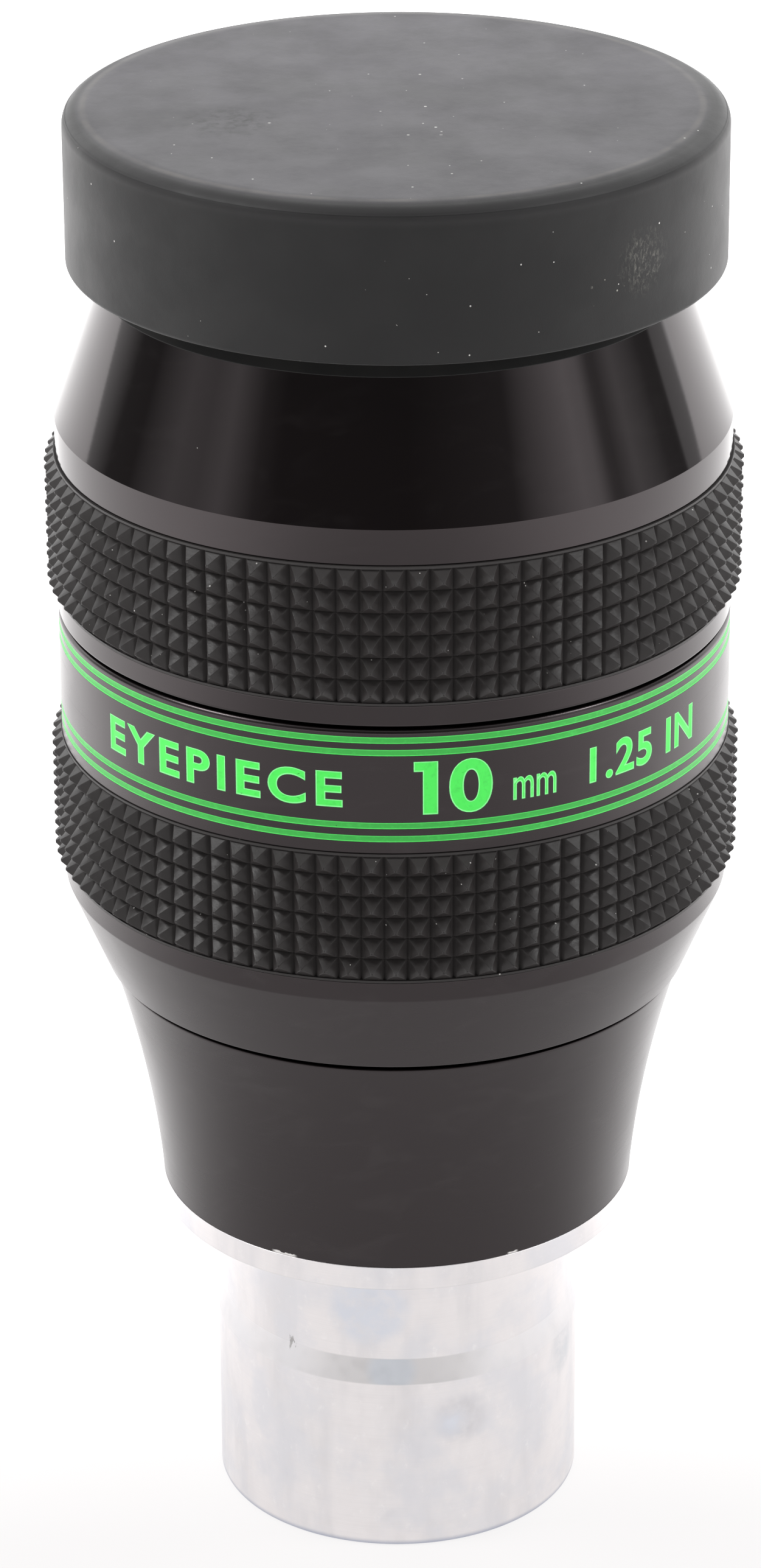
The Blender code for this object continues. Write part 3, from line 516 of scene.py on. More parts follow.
def coated_glass():
    """Clear glass whose coating reflects green."""
    finish = Finish("coated_glass", (0.97, 0.99, 0.98), 0.015, IOR=1.62, Transmission_Weight=1.0,
                    Specular_Tint=(0.45, 1.0, 0.62, 1.0))
    finish.roughen(finish.ramp(finish.noise(6.0, 4.0), 0.5, 0.9), 0.05)
    return finish.done()


FINISHES = {
    "satin_silver": satin_silver(),
    "satin_black": black_anodised_finish("satin_black", 0.24).done(),
    "chipped_black": chipped_black(),
    "gloss_black": black_anodised_finish("gloss_black", 0.06, marks=0.01).done(),
    "matte_black": matte_black(),
    "grip_rubber": grip_rubber(),
    "eyecup_rubber": eyecup_rubber(),
    "cap_rubber": cap_rubber(),
    "brass": metal("brass", (0.62, 0.44, 0.2), 0.3),
    "steel": metal("steel", (0.55, 0.55, 0.56), 0.28),
    "coated_glass": coated_glass(),
    "green_paint": green_paint("green_paint", (0.055, 0.88, 0.085), (0.035, 0.7, 0.06), 0.05),
    # a paler, brighter-glowing copy of the green: a painted highlight on the letters' climbing edges
    "highlight_green_rim": green_paint("highlight_green_rim", (0.26, 1.0, 0.32), (0.15, 0.92, 0.2), 0.1),
    # a darker copy of the green, painted shade for the stripes' recess, with a painted highlight along
    # their edges
    "green_stripe": green_paint("green_stripe", (0.018, 0.42, 0.04), (0.04, 0.6, 0.07), 0.03,
                                edge_highlight_colour=(0.1, 0.86, 0.14)),
}


# -------- mesh helpers

def new_object(name, data):
    made = bpy.data.objects.new(name, data)
    scene.collection.objects.link(made)
    return made


def finished_mesh(name, work):
    """Turn a bmesh into a mesh, and free it."""
    mesh = bpy.data.meshes.new(name)
    work.to_mesh(mesh)
    work.free()
    return mesh


def seen_mesh(thing):
    """A new mesh of an object with its modifiers."""
    bpy.context.view_layer.update()
    seen = thing.evaluated_get(bpy.context.evaluated_depsgraph_get())
    return bpy.data.meshes.new_from_object(seen)


def rounded(corners, closed):
    """Outline corners (radius, height[, fillet]) as points, with arcs and shading support lines."""
    points = []
    count = len(corners)
    for i, corner in enumerate(corners):
        here = Vector(corner[:2])
        fillet = corner[2] if len(corner) > 2 else 0.0
        if not fillet:
            points.append(here)
            continue
        back = (Vector(corners[i - 1][:2]) - here).normalized()
        ahead = (Vector(corners[(i + 1) % count][:2]) - here).normalized()
        half = back.angle(ahead) / 2
        centre = here + (back + ahead).normalized() * fillet / math.sin(half)
        start = here + back * fillet / math.tan(half) - centre
        end = here + ahead * fillet / math.tan(half) - centre
        first = math.atan2(start.y, start.x)
        turn = (math.atan2(end.y, end.x) - first + math.pi) % math.tau - math.pi
        for k in range(FILLET_PARTS + 1):
            angle = first + turn * k / FILLET_PARTS
            points.append(centre + fillet * Vector((math.cos(angle), math.sin(angle))))
    return supported(points, closed)


def supported(points, closed):
    """Add a point close to each end of a long stretch, so that it shades flat."""
    result = []
    count = len(points)
    for i, point in enumerate(points):
        result.append(point)
        if i == count - 1 and not closed:
            continue
        step = points[(i + 1) % count] - point
        if step.length > 5.0 * SUPPORT:
            result.append(point + step.normalized() * SUPPORT)
            result.append(point + step - step.normalized() * SUPPORT)
    return result


def lathe_mesh(name, corners, closed=True, steps=STEPS):
    """Turn an outline about Z. It runs down the outer side; an open one has its ends on the axis."""
    outline = rounded(corners, closed)
    vertices = []
    rings = []
    for radius, height in outline:
        on_axis = radius < 1e-6
        rings.append((len(vertices), on_axis))
        for j in range(1 if on_axis else steps):
            angle = math.tau * j / steps
            vertices.append((radius * MM * math.cos(angle), radius * MM * math.sin(angle), height * MM))
    faces = []
    pairs = list(zip(rings, rings[1:]))
    if closed:
        pairs.append((rings[-1], rings[0]))
    for (upper, upper_point), (lower, lower_point) in pairs:
        for j in range(steps):
            after = (j + 1) % steps
            if upper_point:
                faces.append((upper, lower + j, lower + after))
            elif lower_point:
                faces.append((upper + j, lower, upper + after))
            else:
                faces.append((upper + j, lower + j, lower + after, upper + after))
    mesh = bpy.data.meshes.new(name)
    mesh.from_pydata(vertices, [], faces)
    return mesh


def add_piece(name, mesh, body, slot, node=None):
    """Put a mesh in the scene as a piece, in place of a CAD node if one is named."""
    piece = new_object(name, mesh)
    mesh.shade_smooth()
    mesh.set_sharp_from_angle(angle=SHARP_ANGLE)
    mesh.materials.append(FINISHES[slot])
    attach(piece, body)
    if node:
        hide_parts(node)
    return piece


def turned(node, corners, body, slot, made="turning", closed=True, steps=STEPS):
    """A lathed piece in place of a CAD node, named after it and how it is made."""
    name = f"{node}_{made}"
    return add_piece(name, lathe_mesh(name, corners, closed, steps), body, slot, node)


def carve(piece, cutters):
    """Cut the cutters out of a piece, and delete them."""
    for cutter in cutters:
        boolean = piece.modifiers.new(cutter.name, "BOOLEAN")
        boolean.operation = "DIFFERENCE"
        boolean.solver = "EXACT"
        boolean.object = cutter
    mesh = seen_mesh(piece)
    piece.modifiers.clear()
    piece.data = mesh
    for cutter in cutters:
        bpy.data.objects.remove(cutter)
    mesh.set_sharp_from_angle(angle=SHARP_ANGLE)


def box_cutter(name, centre, size, turn=0.0):
    """A box, swung round Z after it is placed."""
    work = bmesh.new()
    place = Matrix.Rotation(turn, 4, "Z") @ Matrix.Translation(Vector(centre) * MM)
    bmesh.ops.create_cube(work, size=1.0, matrix=place @ Matrix.Diagonal((*(Vector(size) * MM), 1.0)))
    return new_object(name, finished_mesh(name, work))


def paint_inside(piece, radius, slot):
    """Give the faces nearer to the axis than radius another finish."""
    piece.data.materials.append(FINISHES[slot])
    for face in piece.data.polygons:
        if face.center.xy.length < radius * MM:
            face.material_index = len(piece.data.materials) - 1


# -------- turned pieces

def nosepiece():
    low, top, _ = span("nosepiece")
    flange_low, flange_top = FLANGE_Z
    taper_low, taper_top = BARREL_TAPER_Z
    thread_low = low + FILTER_THREAD_START
    thread_top = thread_low + FILTER_THREAD_PITCH * FILTER_THREAD_TURNS
    thread = []
    for i in range(FILTER_THREAD_TURNS):
        crest = thread_low + FILTER_THREAD_PITCH * i
        thread.append((FILTER_THREAD_R, crest))
        thread.append((FILTER_THREAD_R - FILTER_THREAD_DEPTH, crest + FILTER_THREAD_PITCH / 2))
    corners = [
        (BORE_R, top), (NECK_R, top, 0.3), (NECK_R, flange_top), (FLANGE_R, flange_top, 0.04),
        (FLANGE_R, flange_low, 0.25), (UNDERCUT_R, flange_low, 0.15), (UNDERCUT_R, taper_top, 0.3),
        (BARREL_R, taper_low, 0.3), (BARREL_R, low, 0.4), (FILTER_THREAD_R + 0.25, low),
        *thread, (FILTER_THREAD_R, thread_top), (BORE_R, thread_top + 0.6),
    ]
    piece = turned("nosepiece", corners, "main", "satin_silver")
    paint_inside(piece, FILTER_THREAD_R + 0.1, "matte_black")


def flare_radius(height):
    """The lower housing's outer radius at a height."""
    base, slope, bend = FLARE_COEFFICIENTS
    rise = height - FLARE_MIDDLE_Z
    return base + slope * rise + bend * rise * rise


def lower_housing():
    _, top, _ = span("lower_housing")
    flare = []
    for i in range(1, FLARE_PARTS):
        height = FLARE_TOP_Z + (FLARE_LOW_Z - FLARE_TOP_Z) * i / FLARE_PARTS
        flare.append((flare_radius(height), height))
    mouth_r, neck_r, socket_r, stop_r = 19.5, 22.0, 16.8, 15.0
    stop_z = 40.9
    corners = [
        (mouth_r, top), (neck_r, top, 0.3), (neck_r, FLARE_TOP_Z),
        (flare_radius(FLARE_TOP_Z), FLARE_TOP_Z, 0.15), *flare,
        (flare_radius(FLARE_LOW_Z), FLARE_LOW_Z, 0.04), (socket_r, FLARE_LOW_Z), (socket_r, stop_z),
        (stop_r, stop_z), (stop_r, stop_z + 2.1), (mouth_r, 50.0),
    ]
    piece = turned("lower_housing", corners, "main", "chipped_black")
    paint_inside(piece, mouth_r + 0.3, "matte_black")


def main_housing():
    """The main housing with its four grooves, before the label is cut."""
    grooves = []
    floor_r = HOUSING_R - STRIPE_DEPTH
    for height in STRIPE_HEIGHTS:
        top = height + STRIPE_WIDTH / 2
        low = height - STRIPE_WIDTH / 2
        grooves += [(HOUSING_R, top), (floor_r, top - STRIPE_SLOPE), (floor_r, low + STRIPE_SLOPE),
                    (HOUSING_R, low)]
    grip_low, grip_top = LOWER_GRIP_Z
    mouth_r, bore_r, socket_r = 20.8, 24.9, 22.3
    mouth_z = 80.5
    corners = [
        (mouth_r, HOUSING_TOP_Z), (HOUSING_R, HOUSING_TOP_Z, 0.36), *grooves,
        (HOUSING_R, grip_top, 0.12), (GRIP_GROOVE_R, grip_top), (GRIP_GROOVE_R, grip_low),
        (HOUSING_R, grip_low, 0.12), (HOUSING_R, 59.3, 0.5), (25.05, HOUSING_LOW_Z, 0.15),
        (socket_r, HOUSING_LOW_Z), (socket_r, 57.3), (bore_r, 58.2), (bore_r, mouth_z),
        (mouth_r, mouth_z),
    ]
    return turned("main_housing", corners, "main", "satin_black")


def stripes():
    """Green paint in the four turned grooves, slightly hollow."""
    edge_r, shoulder_r, middle_r = [HOUSING_R - depth for depth in STRIPE_PAINT]
    floor_r = HOUSING_R - STRIPE_DEPTH + STRIPE_LIFT
    for number, height in enumerate(STRIPE_HEIGHTS, 1):
        top = height + STRIPE_WIDTH / 2 - STRIPE_GAP
        low = height - STRIPE_WIDTH / 2 + STRIPE_GAP
        corners = [
            (edge_r, top - 0.012), (shoulder_r, top - 0.1), (middle_r, height), (shoulder_r, low + 0.1),
            (edge_r, low + 0.012), (floor_r, low + STRIPE_SLOPE), (floor_r, top - STRIPE_SLOPE),
        ]
        name = f"green_stripe_{number}"
        add_piece(name, lathe_mesh(name, corners), "main", "green_stripe")


def eyeguard_sleeve():
    _, top, _ = span("eyeguard_sleeve")
    grip_low, grip_top = UPPER_GRIP_Z
    mouth_r, lip_r, groove_r, bore_r, collet_r = 21.7, 23.2, 22.6, 23.9, 25.0
    lip_z, shoulder_z, collet_z = 114.9, 113.0, 97.5
    corners = [
        (mouth_r, top, 0.15), (lip_r, top, 0.2), (lip_r, lip_z), (groove_r, lip_z),
        (groove_r, shoulder_z), (23.0, shoulder_z, 0.2), (24.15, 111.75, 0.06),
        (SLEEVE_BAND_R, 100.45, 0.03), (SLEEVE_BAND_R, grip_top, 0.1), (GRIP_GROOVE_R, grip_top),
        (GRIP_GROOVE_R, grip_low), (HOUSING_R, grip_low, 0.1), (HOUSING_R, SLEEVE_LOW_Z, 0.22),
        (collet_r, SLEEVE_LOW_Z, 0.1), (collet_r, collet_z), (bore_r, collet_z), (bore_r, 108.0),
        (lip_r, 111.3), (mouth_r, 112.8),
    ]
    piece = turned("eyeguard_sleeve", corners, "eyeguard", "gloss_black")
    paint_inside(piece, collet_r + 0.05, "matte_black")


def eyecup():
    """The eyecup: a skirt that grips the sleeve's lip, and a thin flared wall."""
    low, top, top_r = span("eyecup")
    skirt_r, grip_r, lip_r, mouth_r = 25.0, 22.9, 23.5, 22.0
    lip_low, lip_top = 114.6, 116.3
    corners = [
        (23.5, top, 0.7), (top_r, top, 0.85), (top_r - 0.2, top - 1.9, 0.9), (24.4, 117.8, 0.5),
        (skirt_r, 116.8, 0.4), (skirt_r, low, 0.3), (grip_r, low, 0.2), (grip_r, lip_low),
        (lip_r, lip_low), (lip_r, lip_top), (mouth_r, lip_top, 0.3), (mouth_r, 117.3, 0.4),
        (23.3, 117.8, 0.4), (23.75, top - 1.8, 0.4),
    ]
    turned("eyecup", corners, "eyeguard", "eyecup_rubber", made="moulding")


def dust_cap():
    """The cap, which sits a little off the axis, as its CAD node does."""
    low, top, radius = span("dust_cap")
    corners = [
        (0.0, top), (radius - CAP_SHOULDER, top, 6.0), (radius - 0.5, top - 0.3, 1.6),
        (radius, top - 0.9, 1.2), (radius, low, 0.3), (CAP_INNER_R, low, 0.25),
        (CAP_INNER_R, low + 2.0), (CAP_INNER_R - 0.25, low + 2.5, 0.15), (CAP_INNER_R, low + 3.0),
        (CAP_INNER_R - 0.05, CAP_CEILING_Z, 0.6), (0.0, CAP_CEILING_Z),
    ]
    mesh = lathe_mesh("dust_cap_moulding", corners, closed=False)
    cap_low, cap_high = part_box("dust_cap")
    mesh.transform(Matrix.Translation(((cap_low.x + cap_high.x) / 2, 0.0, 0.0)))
    add_piece("dust_cap_moulding", mesh, "cap", "cap_rubber", "dust_cap")


def upper_optical_barrel():
    """The barrel that the eyeguard rides on, with three long keyways for the guide pins."""
    low, top, flange_r = span("upper_optical_barrel")
    neck_r, outer_r, bore_r, stop_r = 19.0, 20.5, 16.5, 15.0
    shoulder_z, flange_low, flange_top = 103.4, 78.0, 80.2
    stop_low, stop_top = 79.3, 84.0
    corners = [
        (17.7, top), (neck_r, top, 0.2), (neck_r, shoulder_z), (outer_r, shoulder_z, 0.15),
        (outer_r, flange_top), (flange_r, flange_top), (flange_r, flange_low), (outer_r, flange_low),
        (outer_r, low), (17.8, low), (17.8, stop_low), (stop_r, stop_low), (stop_r, stop_top),
        (bore_r, stop_top), (bore_r, shoulder_z), (17.7, shoulder_z),
    ]
    piece = turned("upper_optical_barrel", corners, "main", "matte_black")
    place = (outer_r, 0.0, KEYWAY_Z)
    turns = [math.tau * i / KEYWAYS for i in range(KEYWAYS)]
    carve(piece, [box_cutter("keyway", place, KEYWAY_SIZE, turn) for turn in turns])


def eye_lens_cell():
    low, top, radius = span("eye_lens_cell")
    bore_r, neck_r, socket_r = 17.7, 19.6, 19.3
    shoulder_z, seat_z = 108.3, 105.7
    corners = [
        (bore_r, top, 0.15), (neck_r, top, 0.2), (neck_r, shoulder_z), (radius, shoulder_z, 0.2),
        (radius, low, 0.15), (socket_r, low), (socket_r, seat_z), (bore_r, seat_z),
    ]
    turned("eye_lens_cell", corners, "main", "matte_black")


def spanner_ring(node, corners, face):
    """A threaded ring with two notches, for a spanner, in its face at that height."""
    piece = turned(node, corners, "main", "matte_black", steps=INNER_STEPS)
    across = 2.0 * span(node)[2] + 2.0
    carve(piece, [box_cutter(piece.name + "_slots", (0.0, 0.0, face), (across, *NOTCH))])


def threaded_rings():
    low, top, radius = span("eye_lens_retainer")
    corners = [(16.6, top, 0.1), (radius, top, 0.1), (radius, low), (15.4, low), (15.4, top - 1.2, 0.1)]
    spanner_ring("eye_lens_retainer", corners, top)
    low, top, radius = span("lower_lens_retainer")
    corners = [(10.0, top), (radius, top), (radius, low, 0.1), (10.0, low, 0.3)]
    spanner_ring("lower_lens_retainer", corners, low)


def plain_rings():
    rings = (("top_stop_ring", 19.9, "main"), ("collet_retaining_ring", 21.0, "eyeguard"))
    for node, inner_r, body in rings:
        low, top, radius = span(node)
        corners = [(inner_r, top, 0.15), (radius, top, 0.25), (radius, low, 0.25), (inner_r, low, 0.15)]
        turned(node, corners, body, "matte_black")
    low, top, radius = span("lower_lens_cell")
    corners = [
        (10.0, top, 0.1), (radius, top, 0.15), (radius, low, 0.15), (11.6, low, 0.15),
        (11.6, top - 1.5), (10.0, top - 1.5, 0.1),
    ]
    turned("lower_lens_cell", corners, "main", "matte_black", steps=INNER_STEPS)


def dome(edge_r, edge_z, sag):
    """Points of a spherical face from the axis to its edge; a negative sag is hollow."""
    ball = (edge_r ** 2 + sag ** 2) / (2.0 * sag)
    half = math.asin(edge_r / ball)
    points = []
    for i in range(DOME_PARTS + 1):
        angle = half * i / DOME_PARTS
        points.append((ball * math.sin(angle), edge_z + sag - ball * (1.0 - math.cos(angle))))
    points[0] = (0.0, points[0][1])
    return points


def lenses():
    """The lenses, each from the sags of its lower and upper face; a positive sag bulges out."""
    faces = {
        "lower_negative_lens": (-1.2, -1.8), "lower_meniscus_lens": (1.8, -0.6),
        "collector_lens": (1.0, 2.4), "middle_flint_lens": (-1.4, -2.6),
        "middle_crown_lens": (2.6, 1.8), "upper_flint_lens": (-1.0, -2.8),
        "upper_crown_lens": (2.8, 2.4), "eye_lens": (2.4, 1.3),
    }
    for node, (low_sag, top_sag) in faces.items():
        low, top, radius = span(node)
        top_edge = top - max(top_sag, 0.0)
        low_edge = low + max(low_sag, 0.0)
        corners = dome(radius, top_edge, top_sag) + dome(radius, low_edge, -low_sag)[::-1]
        turned(node, corners, "main", "coated_glass", "ground", closed=False, steps=INNER_STEPS)


# -------- grips

def grip(name, node, body, heights):
    """A rubber ring of pyramids, with grooves between them and a thin rim at each end."""
    low, high = heights
    work = bmesh.new()
    ridge = work.edges.layers.float.new("bevel_weight_edge")
    pitch = (high - low - 2.0 * GRIP_RIM) / GRIP_ROWS
    across = GRIP_GROOVE_HALF * GRIP_COLUMNS / (math.tau * GRIP_ROOT_R)
    turns = [j + share for j in range(GRIP_COLUMNS) for share in (0.0, across, 1.0 - across)]

    def vertex(radius, angle, height):
        place = Vector((radius * math.cos(angle), radius * math.sin(angle), height))
        return work.verts.new(place * MM)

    def ring_of(radius, height, sunk=0.0):
        """One ring of vertices, three to a column; the first of each three lies in a groove."""
        points = []
        for k, turn in enumerate(turns):
            reach = radius - (sunk if k % 3 == 0 else 0.0)
            points.append(vertex(reach, math.tau * turn / GRIP_COLUMNS, height))
        return points

    def strip(upper, lower, leave_bases=False):
        """Faces between two rings, except where pyramids will stand."""
        for k in range(len(turns)):
            if leave_bases and k % 3 == 1:
                continue
            after = (k + 1) % len(turns)
            work.faces.new((upper[k], lower[k], lower[after], upper[after]))

    def pyramid(base, middle, column):
        """Four sides on a base, and a blunt tip that dips in its middle."""
        turn = math.tau * (column + 0.5) / GRIP_COLUMNS
        half_turn = GRIP_TIP_HALF / GRIP_TIP_R
        tip = []
        for rise, side in ((1, -1), (-1, -1), (-1, 1), (1, 1)):
            tip.append(vertex(GRIP_TIP_R, turn + side * half_turn, middle + rise * GRIP_TIP_HALF))
        dimple = vertex(GRIP_TIP_R - GRIP_TIP_DIMPLE, turn, middle)
        for k in range(4):
            after = (k + 1) % 4
            work.faces.new((base[k], base[after], tip[after], tip[k]))
            work.faces.new((tip[k], tip[after], dimple))
        for k in range(4):
            work.edges.get((base[k], tip[k]))[ridge] = 1.0
            work.edges.get((tip[k], tip[(k + 1) % 4]))[ridge] = 1.0

    top = high - GRIP_RIM
    above = [ring_of(GRIP_ROOT_R, top, GRIP_GROOVE_DEEP)]
    for i in range(GRIP_ROWS):
        upper = ring_of(GRIP_ROOT_R, top - pitch * i - GRIP_ROW_GAP_HALF, GRIP_GROOVE_DEEP)
        lower = ring_of(GRIP_ROOT_R, top - pitch * (i + 1) + GRIP_ROW_GAP_HALF, GRIP_GROOVE_DEEP)
        strip(above[-1], upper)
        strip(upper, lower, leave_bases=True)
        for j in range(GRIP_COLUMNS):
            base = (upper[3 * j + 1], lower[3 * j + 1], lower[3 * j + 2], upper[3 * j + 2])
            pyramid(base, top - pitch * (i + 0.5), j)
        last = i == GRIP_ROWS - 1
        radius = GRIP_ROOT_R - (0.0 if last else GRIP_ROW_DEEP)
        sunk = GRIP_GROOVE_DEEP if last else GRIP_GROOVE_DEEP - GRIP_ROW_DEEP
        above.append(ring_of(radius, top - pitch * (i + 1), sunk))
        strip(lower, above[-1])
    inner_r = GRIP_GROOVE_R + GRIP_CLEARANCE
    loops = [above[0], ring_of(GRIP_RIM_R, top + GRIP_RIM_SLOPE), ring_of(GRIP_RIM_R, high),
             ring_of(inner_r, high), ring_of(inner_r, low), ring_of(GRIP_RIM_R, low),
             ring_of(GRIP_RIM_R, low + GRIP_RIM - GRIP_RIM_SLOPE), above[-1]]
    for first, second in zip(loops, loops[1:]):
        strip(second, first)
    bmesh.ops.recalc_face_normals(work, faces=work.faces)
    piece = add_piece(name, finished_mesh(name, work), body, "grip_rubber", node)
    bevel = piece.modifiers.new("rounding", "BEVEL")
    bevel.width = GRIP_ROUNDING * MM
    bevel.segments = 2
    bevel.limit_method = "WEIGHT"


# -------- label

def drawn_one():
    """A plain digit 1 with a square flag, one unit wide and high."""
    work = bmesh.new()
    left = 1.0 - ONE_STEM
    under = 1.0 - ONE_FLAG
    places = ((left, 0.0), (1.0, 0.0), (1.0, under), (left, under), (1.0, 1.0), (left, 1.0),
              (0.0, 1.0), (0.0, under))
    corners = [work.verts.new((x, y, 0.0)) for x, y in places]
    for quad in ((0, 1, 2, 3), (3, 2, 4, 5), (3, 5, 6, 7)):
        work.faces.new([corners[k] for k in quad])
    return work


def typed(words, spacing, weight):
    """Letters of the built-in font as a flat mesh."""
    curve = bpy.data.curves.new("letters", "FONT")
    curve.body = words
    curve.offset = weight
    curve.space_character = spacing
    curve.resolution_u = 8
    letters = new_object("letters", curve)
    mesh = seen_mesh(letters)
    bpy.data.objects.remove(letters)
    work = bmesh.new()
    work.from_mesh(mesh)
    bmesh.ops.remove_doubles(work, verts=work.verts, dist=NEARLY_ZERO)
    return work


def flat_text(words, width, height, spacing, weight):
    """Flat letters centred on the origin, cut into strips that can be bent."""
    work = drawn_one() if words == "1" else typed(words, spacing, weight)
    xs = [vertex.co.x for vertex in work.verts]
    ys = [vertex.co.y for vertex in work.verts]
    middle = Vector(((max(xs) + min(xs)) / 2, (max(ys) + min(ys)) / 2, 0.0))
    scale = Vector((width / (max(xs) - min(xs)), height / (max(ys) - min(ys)), 1.0))
    for vertex in work.verts:
        vertex.co = (vertex.co - middle) * scale
    cuts = int(LABEL_CUTS * width)
    for i in range(1, cuts):
        at = width * (i / cuts - 0.5)
        everything = list(work.verts) + list(work.edges) + list(work.faces)
        bmesh.ops.bisect_plane(work, geom=everything, plane_co=(at, 0, 0), plane_no=(1, 0, 0),
                               dist=NEARLY_ZERO)
    return work


def wrap(work, azimuth, middle, name):
    """Bend flat letters round the housing: x runs round it, y up and z out from its surface."""
    for vertex in work.verts:
        angle = math.radians(azimuth) + vertex.co.x / HOUSING_R
        radius = HOUSING_R + vertex.co.z
        height = middle + vertex.co.y
        vertex.co = Vector((radius * math.sin(angle), -radius * math.cos(angle), height)) * MM
    bmesh.ops.recalc_face_normals(work, faces=work.faces)
    return finished_mesh(name, work)


def thicken(work, low, high, edge=None):
    """Make flat letters solid between two heights; their outline may have a third."""
    for vertex in work.verts:
        vertex.co.z = edge if edge is not None and vertex.is_boundary else high
    made = bmesh.ops.extrude_face_region(work, geom=list(work.faces))
    for thing in made["geom"]:
        if isinstance(thing, bmesh.types.BMVert):
            thing.co.z = low


def round_normals(mesh):
    """Point the normals of the cut cylinder straight out, so that it shades as one round face."""
    normals = [tuple(normal.vector) for normal in mesh.corner_normals]
    for face in mesh.polygons:
        outward = Vector((face.center.x, face.center.y, 0.0)).normalized()
        tilted = face.normal.dot(outward) < SURFACE_COSINE
        elsewhere = abs(face.center.xy.length - HOUSING_R * MM) > SURFACE_REACH * MM
        if tilted or elsewhere:
            continue
        for corner in face.loop_indices:
            place = mesh.vertices[mesh.loops[corner].vertex_index].co
            normals[corner] = tuple(Vector((place.x, place.y, 0.0)).normalized())
    mesh.normals_split_custom_set(normals)


def label(housing):
    """Engrave the label in the housing, and fill it with green paint that climbs at its edges."""
    cutters = []
    for number, (words, first, last, middle, *style) in enumerate(LABEL, 1):
        azimuth = (first + last) / 2
        width = math.radians(last - first) * HOUSING_R
        work = flat_text(words, width, *style)
        thicken(work, -LABEL_DEPTH, LABEL_CLEARANCE)
        cutters.append(new_object(f"engraving_{number}", wrap(work, azimuth, middle, "engraving")))
        work = flat_text(words, width, *style)
        rim = bmesh.ops.inset_region(work, faces=list(work.faces), thickness=LABEL_RIM,
                                     use_boundary=True, use_even_offset=True)
        # the outline faces take the painted highlight
        for face in rim["faces"]:
            face.material_index = 1
        thicken(work, PAINT_LIFT - LABEL_DEPTH, *LABEL_PAINT)
        paint = wrap(work, azimuth, middle, "label_paint")
        add_piece(f"label_paint_{number}", paint, "main", "green_paint")
        paint.materials.append(FINISHES["highlight_green_rim"])
    carve(housing, cutters)
    round_normals(housing.data)


# -------- studio and camera

def floor():
    """A plain white floor, lit from beneath like a light table and brighter behind the object."""
    bpy.ops.mesh.primitive_plane_add(size=FLOOR_SIZE)
    plane = bpy.context.object
    plane.name = "floor"
    finish = Finish("floor", (0.1, 0.099, 0.098), 0.9, Specular_IOR_Level=0.0,
                    Emission_Color=(1.0, 0.985, 0.985, 1.0))
    away = finish.add("VectorMath", {0: finish.place, 1: FLOOR_FRONT}, operation="DISTANCE")
    glow = finish.ramp(away.outputs["Value"], FLOOR_NEAR, FLOOR_FAR, *FLOOR_GLOW)
    feed(finish.tree, finish.surface.inputs["Emission Strength"], glow)
    plane.data.materials.append(finish.done())


def softboxes():
    """Soft lights high on both sides, which streak the rounded edges."""
    for name, azimuth, width, power in SOFTBOXES:
        data = bpy.data.lights.new(name, "AREA")
        data.shape = "RECTANGLE"
        data.size = width
        data.size_y = SOFTBOX_HEIGHT
        data.energy = power
        light = new_object(name, data)
        turn = Matrix.Rotation(math.radians(azimuth), 4, "Z") @ Matrix.Rotation(SOFTBOX_RISE, 4, "X")
        light.location = turn @ Vector((0.0, -SOFTBOX_AWAY, 0.0))
        light.rotation_euler = (-light.location).to_track_quat("-Z", "Y").to_euler()


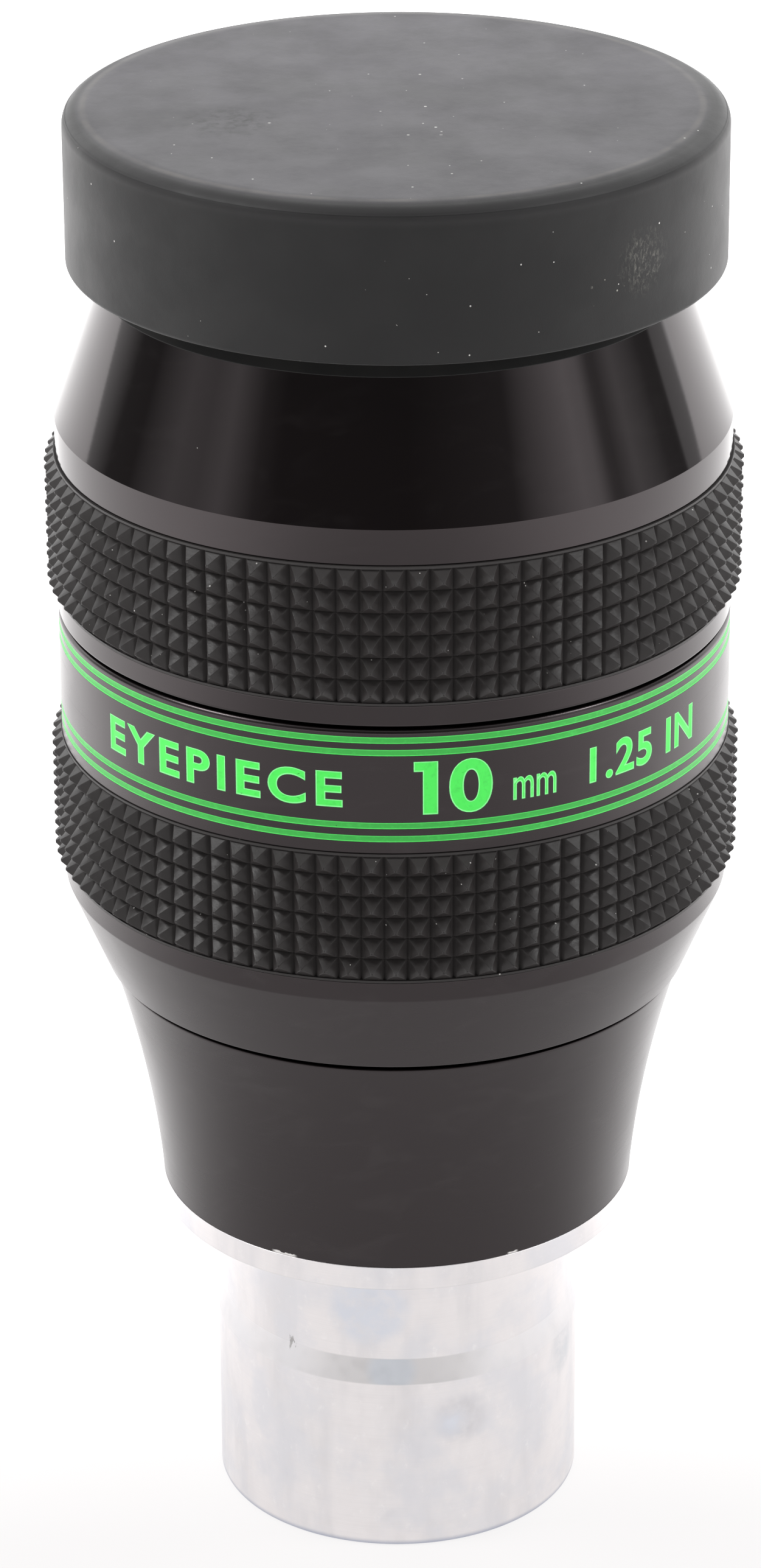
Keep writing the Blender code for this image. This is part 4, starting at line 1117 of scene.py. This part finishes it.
def surroundings():
    """The studio: bright panels with dark gaps round the object, one brightness overhead."""
    world = bpy.data.worlds.new("studio")
    world.use_nodes = True
    tree = world.node_tree
    background = tree.nodes["Background"]
    background.inputs["Color"].default_value = (1.0,) * 4

    def add(kind, inputs=None, **settings):
        return add_node(tree, kind, inputs, **settings)

    def above(low, high):
        """0 below one elevation and 1 above the other."""
        inputs = {"Value": way.outputs["Z"], "From Min": math.sin(math.radians(low)),
                  "From Max": math.sin(math.radians(high))}
        return add("MapRange", inputs, interpolation_type="SMOOTHSTEP").outputs[0]

    way = add("SeparateXYZ", {0: add("TexCoord").outputs["Generated"]})
    ahead = add("Math", {0: way.outputs["Y"], 1: -1.0}, operation="MULTIPLY").outputs[0]
    azimuth = add("Math", {0: way.outputs["X"], 1: ahead}, operation="ARCTAN2").outputs[0]
    share = add("Math", {0: azimuth, 1: 1.0 / math.tau, 2: 0.5}, operation="MULTIPLY_ADD").outputs[0]
    ramp = add("ValToRGB", {"Fac": share})
    stops = ramp.color_ramp.elements
    brightest = max(level for _, level in STUDIO)
    while len(stops) < len(STUDIO):
        stops.new(0.5)
    for stop, (angle, level) in zip(stops, STUDIO):
        stop.position = angle / 360.0 + 0.5
        stop.color = (level / brightest,) * 3 + (1.0,)
    side = add("Math", {0: ramp.outputs["Color"], 1: brightest}, operation="MULTIPLY").outputs[0]
    dimmed = add("Math", {0: side, 1: UPPER_LIMIT}, operation="MINIMUM").outputs[0]
    side = add("Mix", {"Factor": above(*UPPER_FADE), 2: side, 3: dimmed}).outputs[0]
    level = add("Mix", {"Factor": above(*OVERHEAD_FADE), 2: side, 3: OVERHEAD}).outputs[0]
    seen = add("LightPath").outputs["Is Camera Ray"]
    shown = add("Mix", {"Factor": seen, 2: level, 3: BACKDROP}).outputs[0]
    feed(tree, background.inputs["Strength"], shown)
    scene.world = world
    scene.view_settings.view_transform = "Standard"


def camera():
    data = bpy.data.cameras.new("camera")
    data.lens = CAMERA_LENS
    data.sensor_width = CAMERA_SENSOR
    data.clip_start, data.clip_end = CAMERA_CLIP
    eye = new_object("camera", data)
    turn = Matrix.Rotation(CAMERA_YAW, 4, "Z") @ Matrix.Rotation(math.pi / 2 - CAMERA_PITCH, 4, "X")
    turn = turn @ Matrix.Rotation(CAMERA_ROLL, 4, "Z")
    eye.matrix_world = Matrix.Translation((0.0, -CAMERA_BACK, CAMERA_HEIGHT)) @ turn
    bpy.context.scene.camera = eye


def carried_over():
    """The CAD nodes that no piece replaces, all deep inside, get a finish."""
    slots = {"locking_collet": "brass", "friction_ring": "eyecup_rubber"}
    slots.update({f"guide_pin_{i}": "steel" for i in (1, 2, 3)})
    for name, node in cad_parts.items():
        if node.hide_render:
            continue
        node.data.materials.clear()
        node.data.materials.append(FINISHES[slots.get(name, "matte_black")])


nosepiece()
lower_housing()
label(main_housing())
stripes()
eyeguard_sleeve()
eyecup()
dust_cap()
upper_optical_barrel()
eye_lens_cell()
threaded_rings()
plain_rings()
lenses()
grip("lower_grip_moulding", "lower_grip", "main", LOWER_GRIP_Z)
grip("upper_grip_moulding", "upper_grip", "eyeguard", UPPER_GRIP_Z)
carried_over()
floor()
softboxes()
surroundings()
camera()
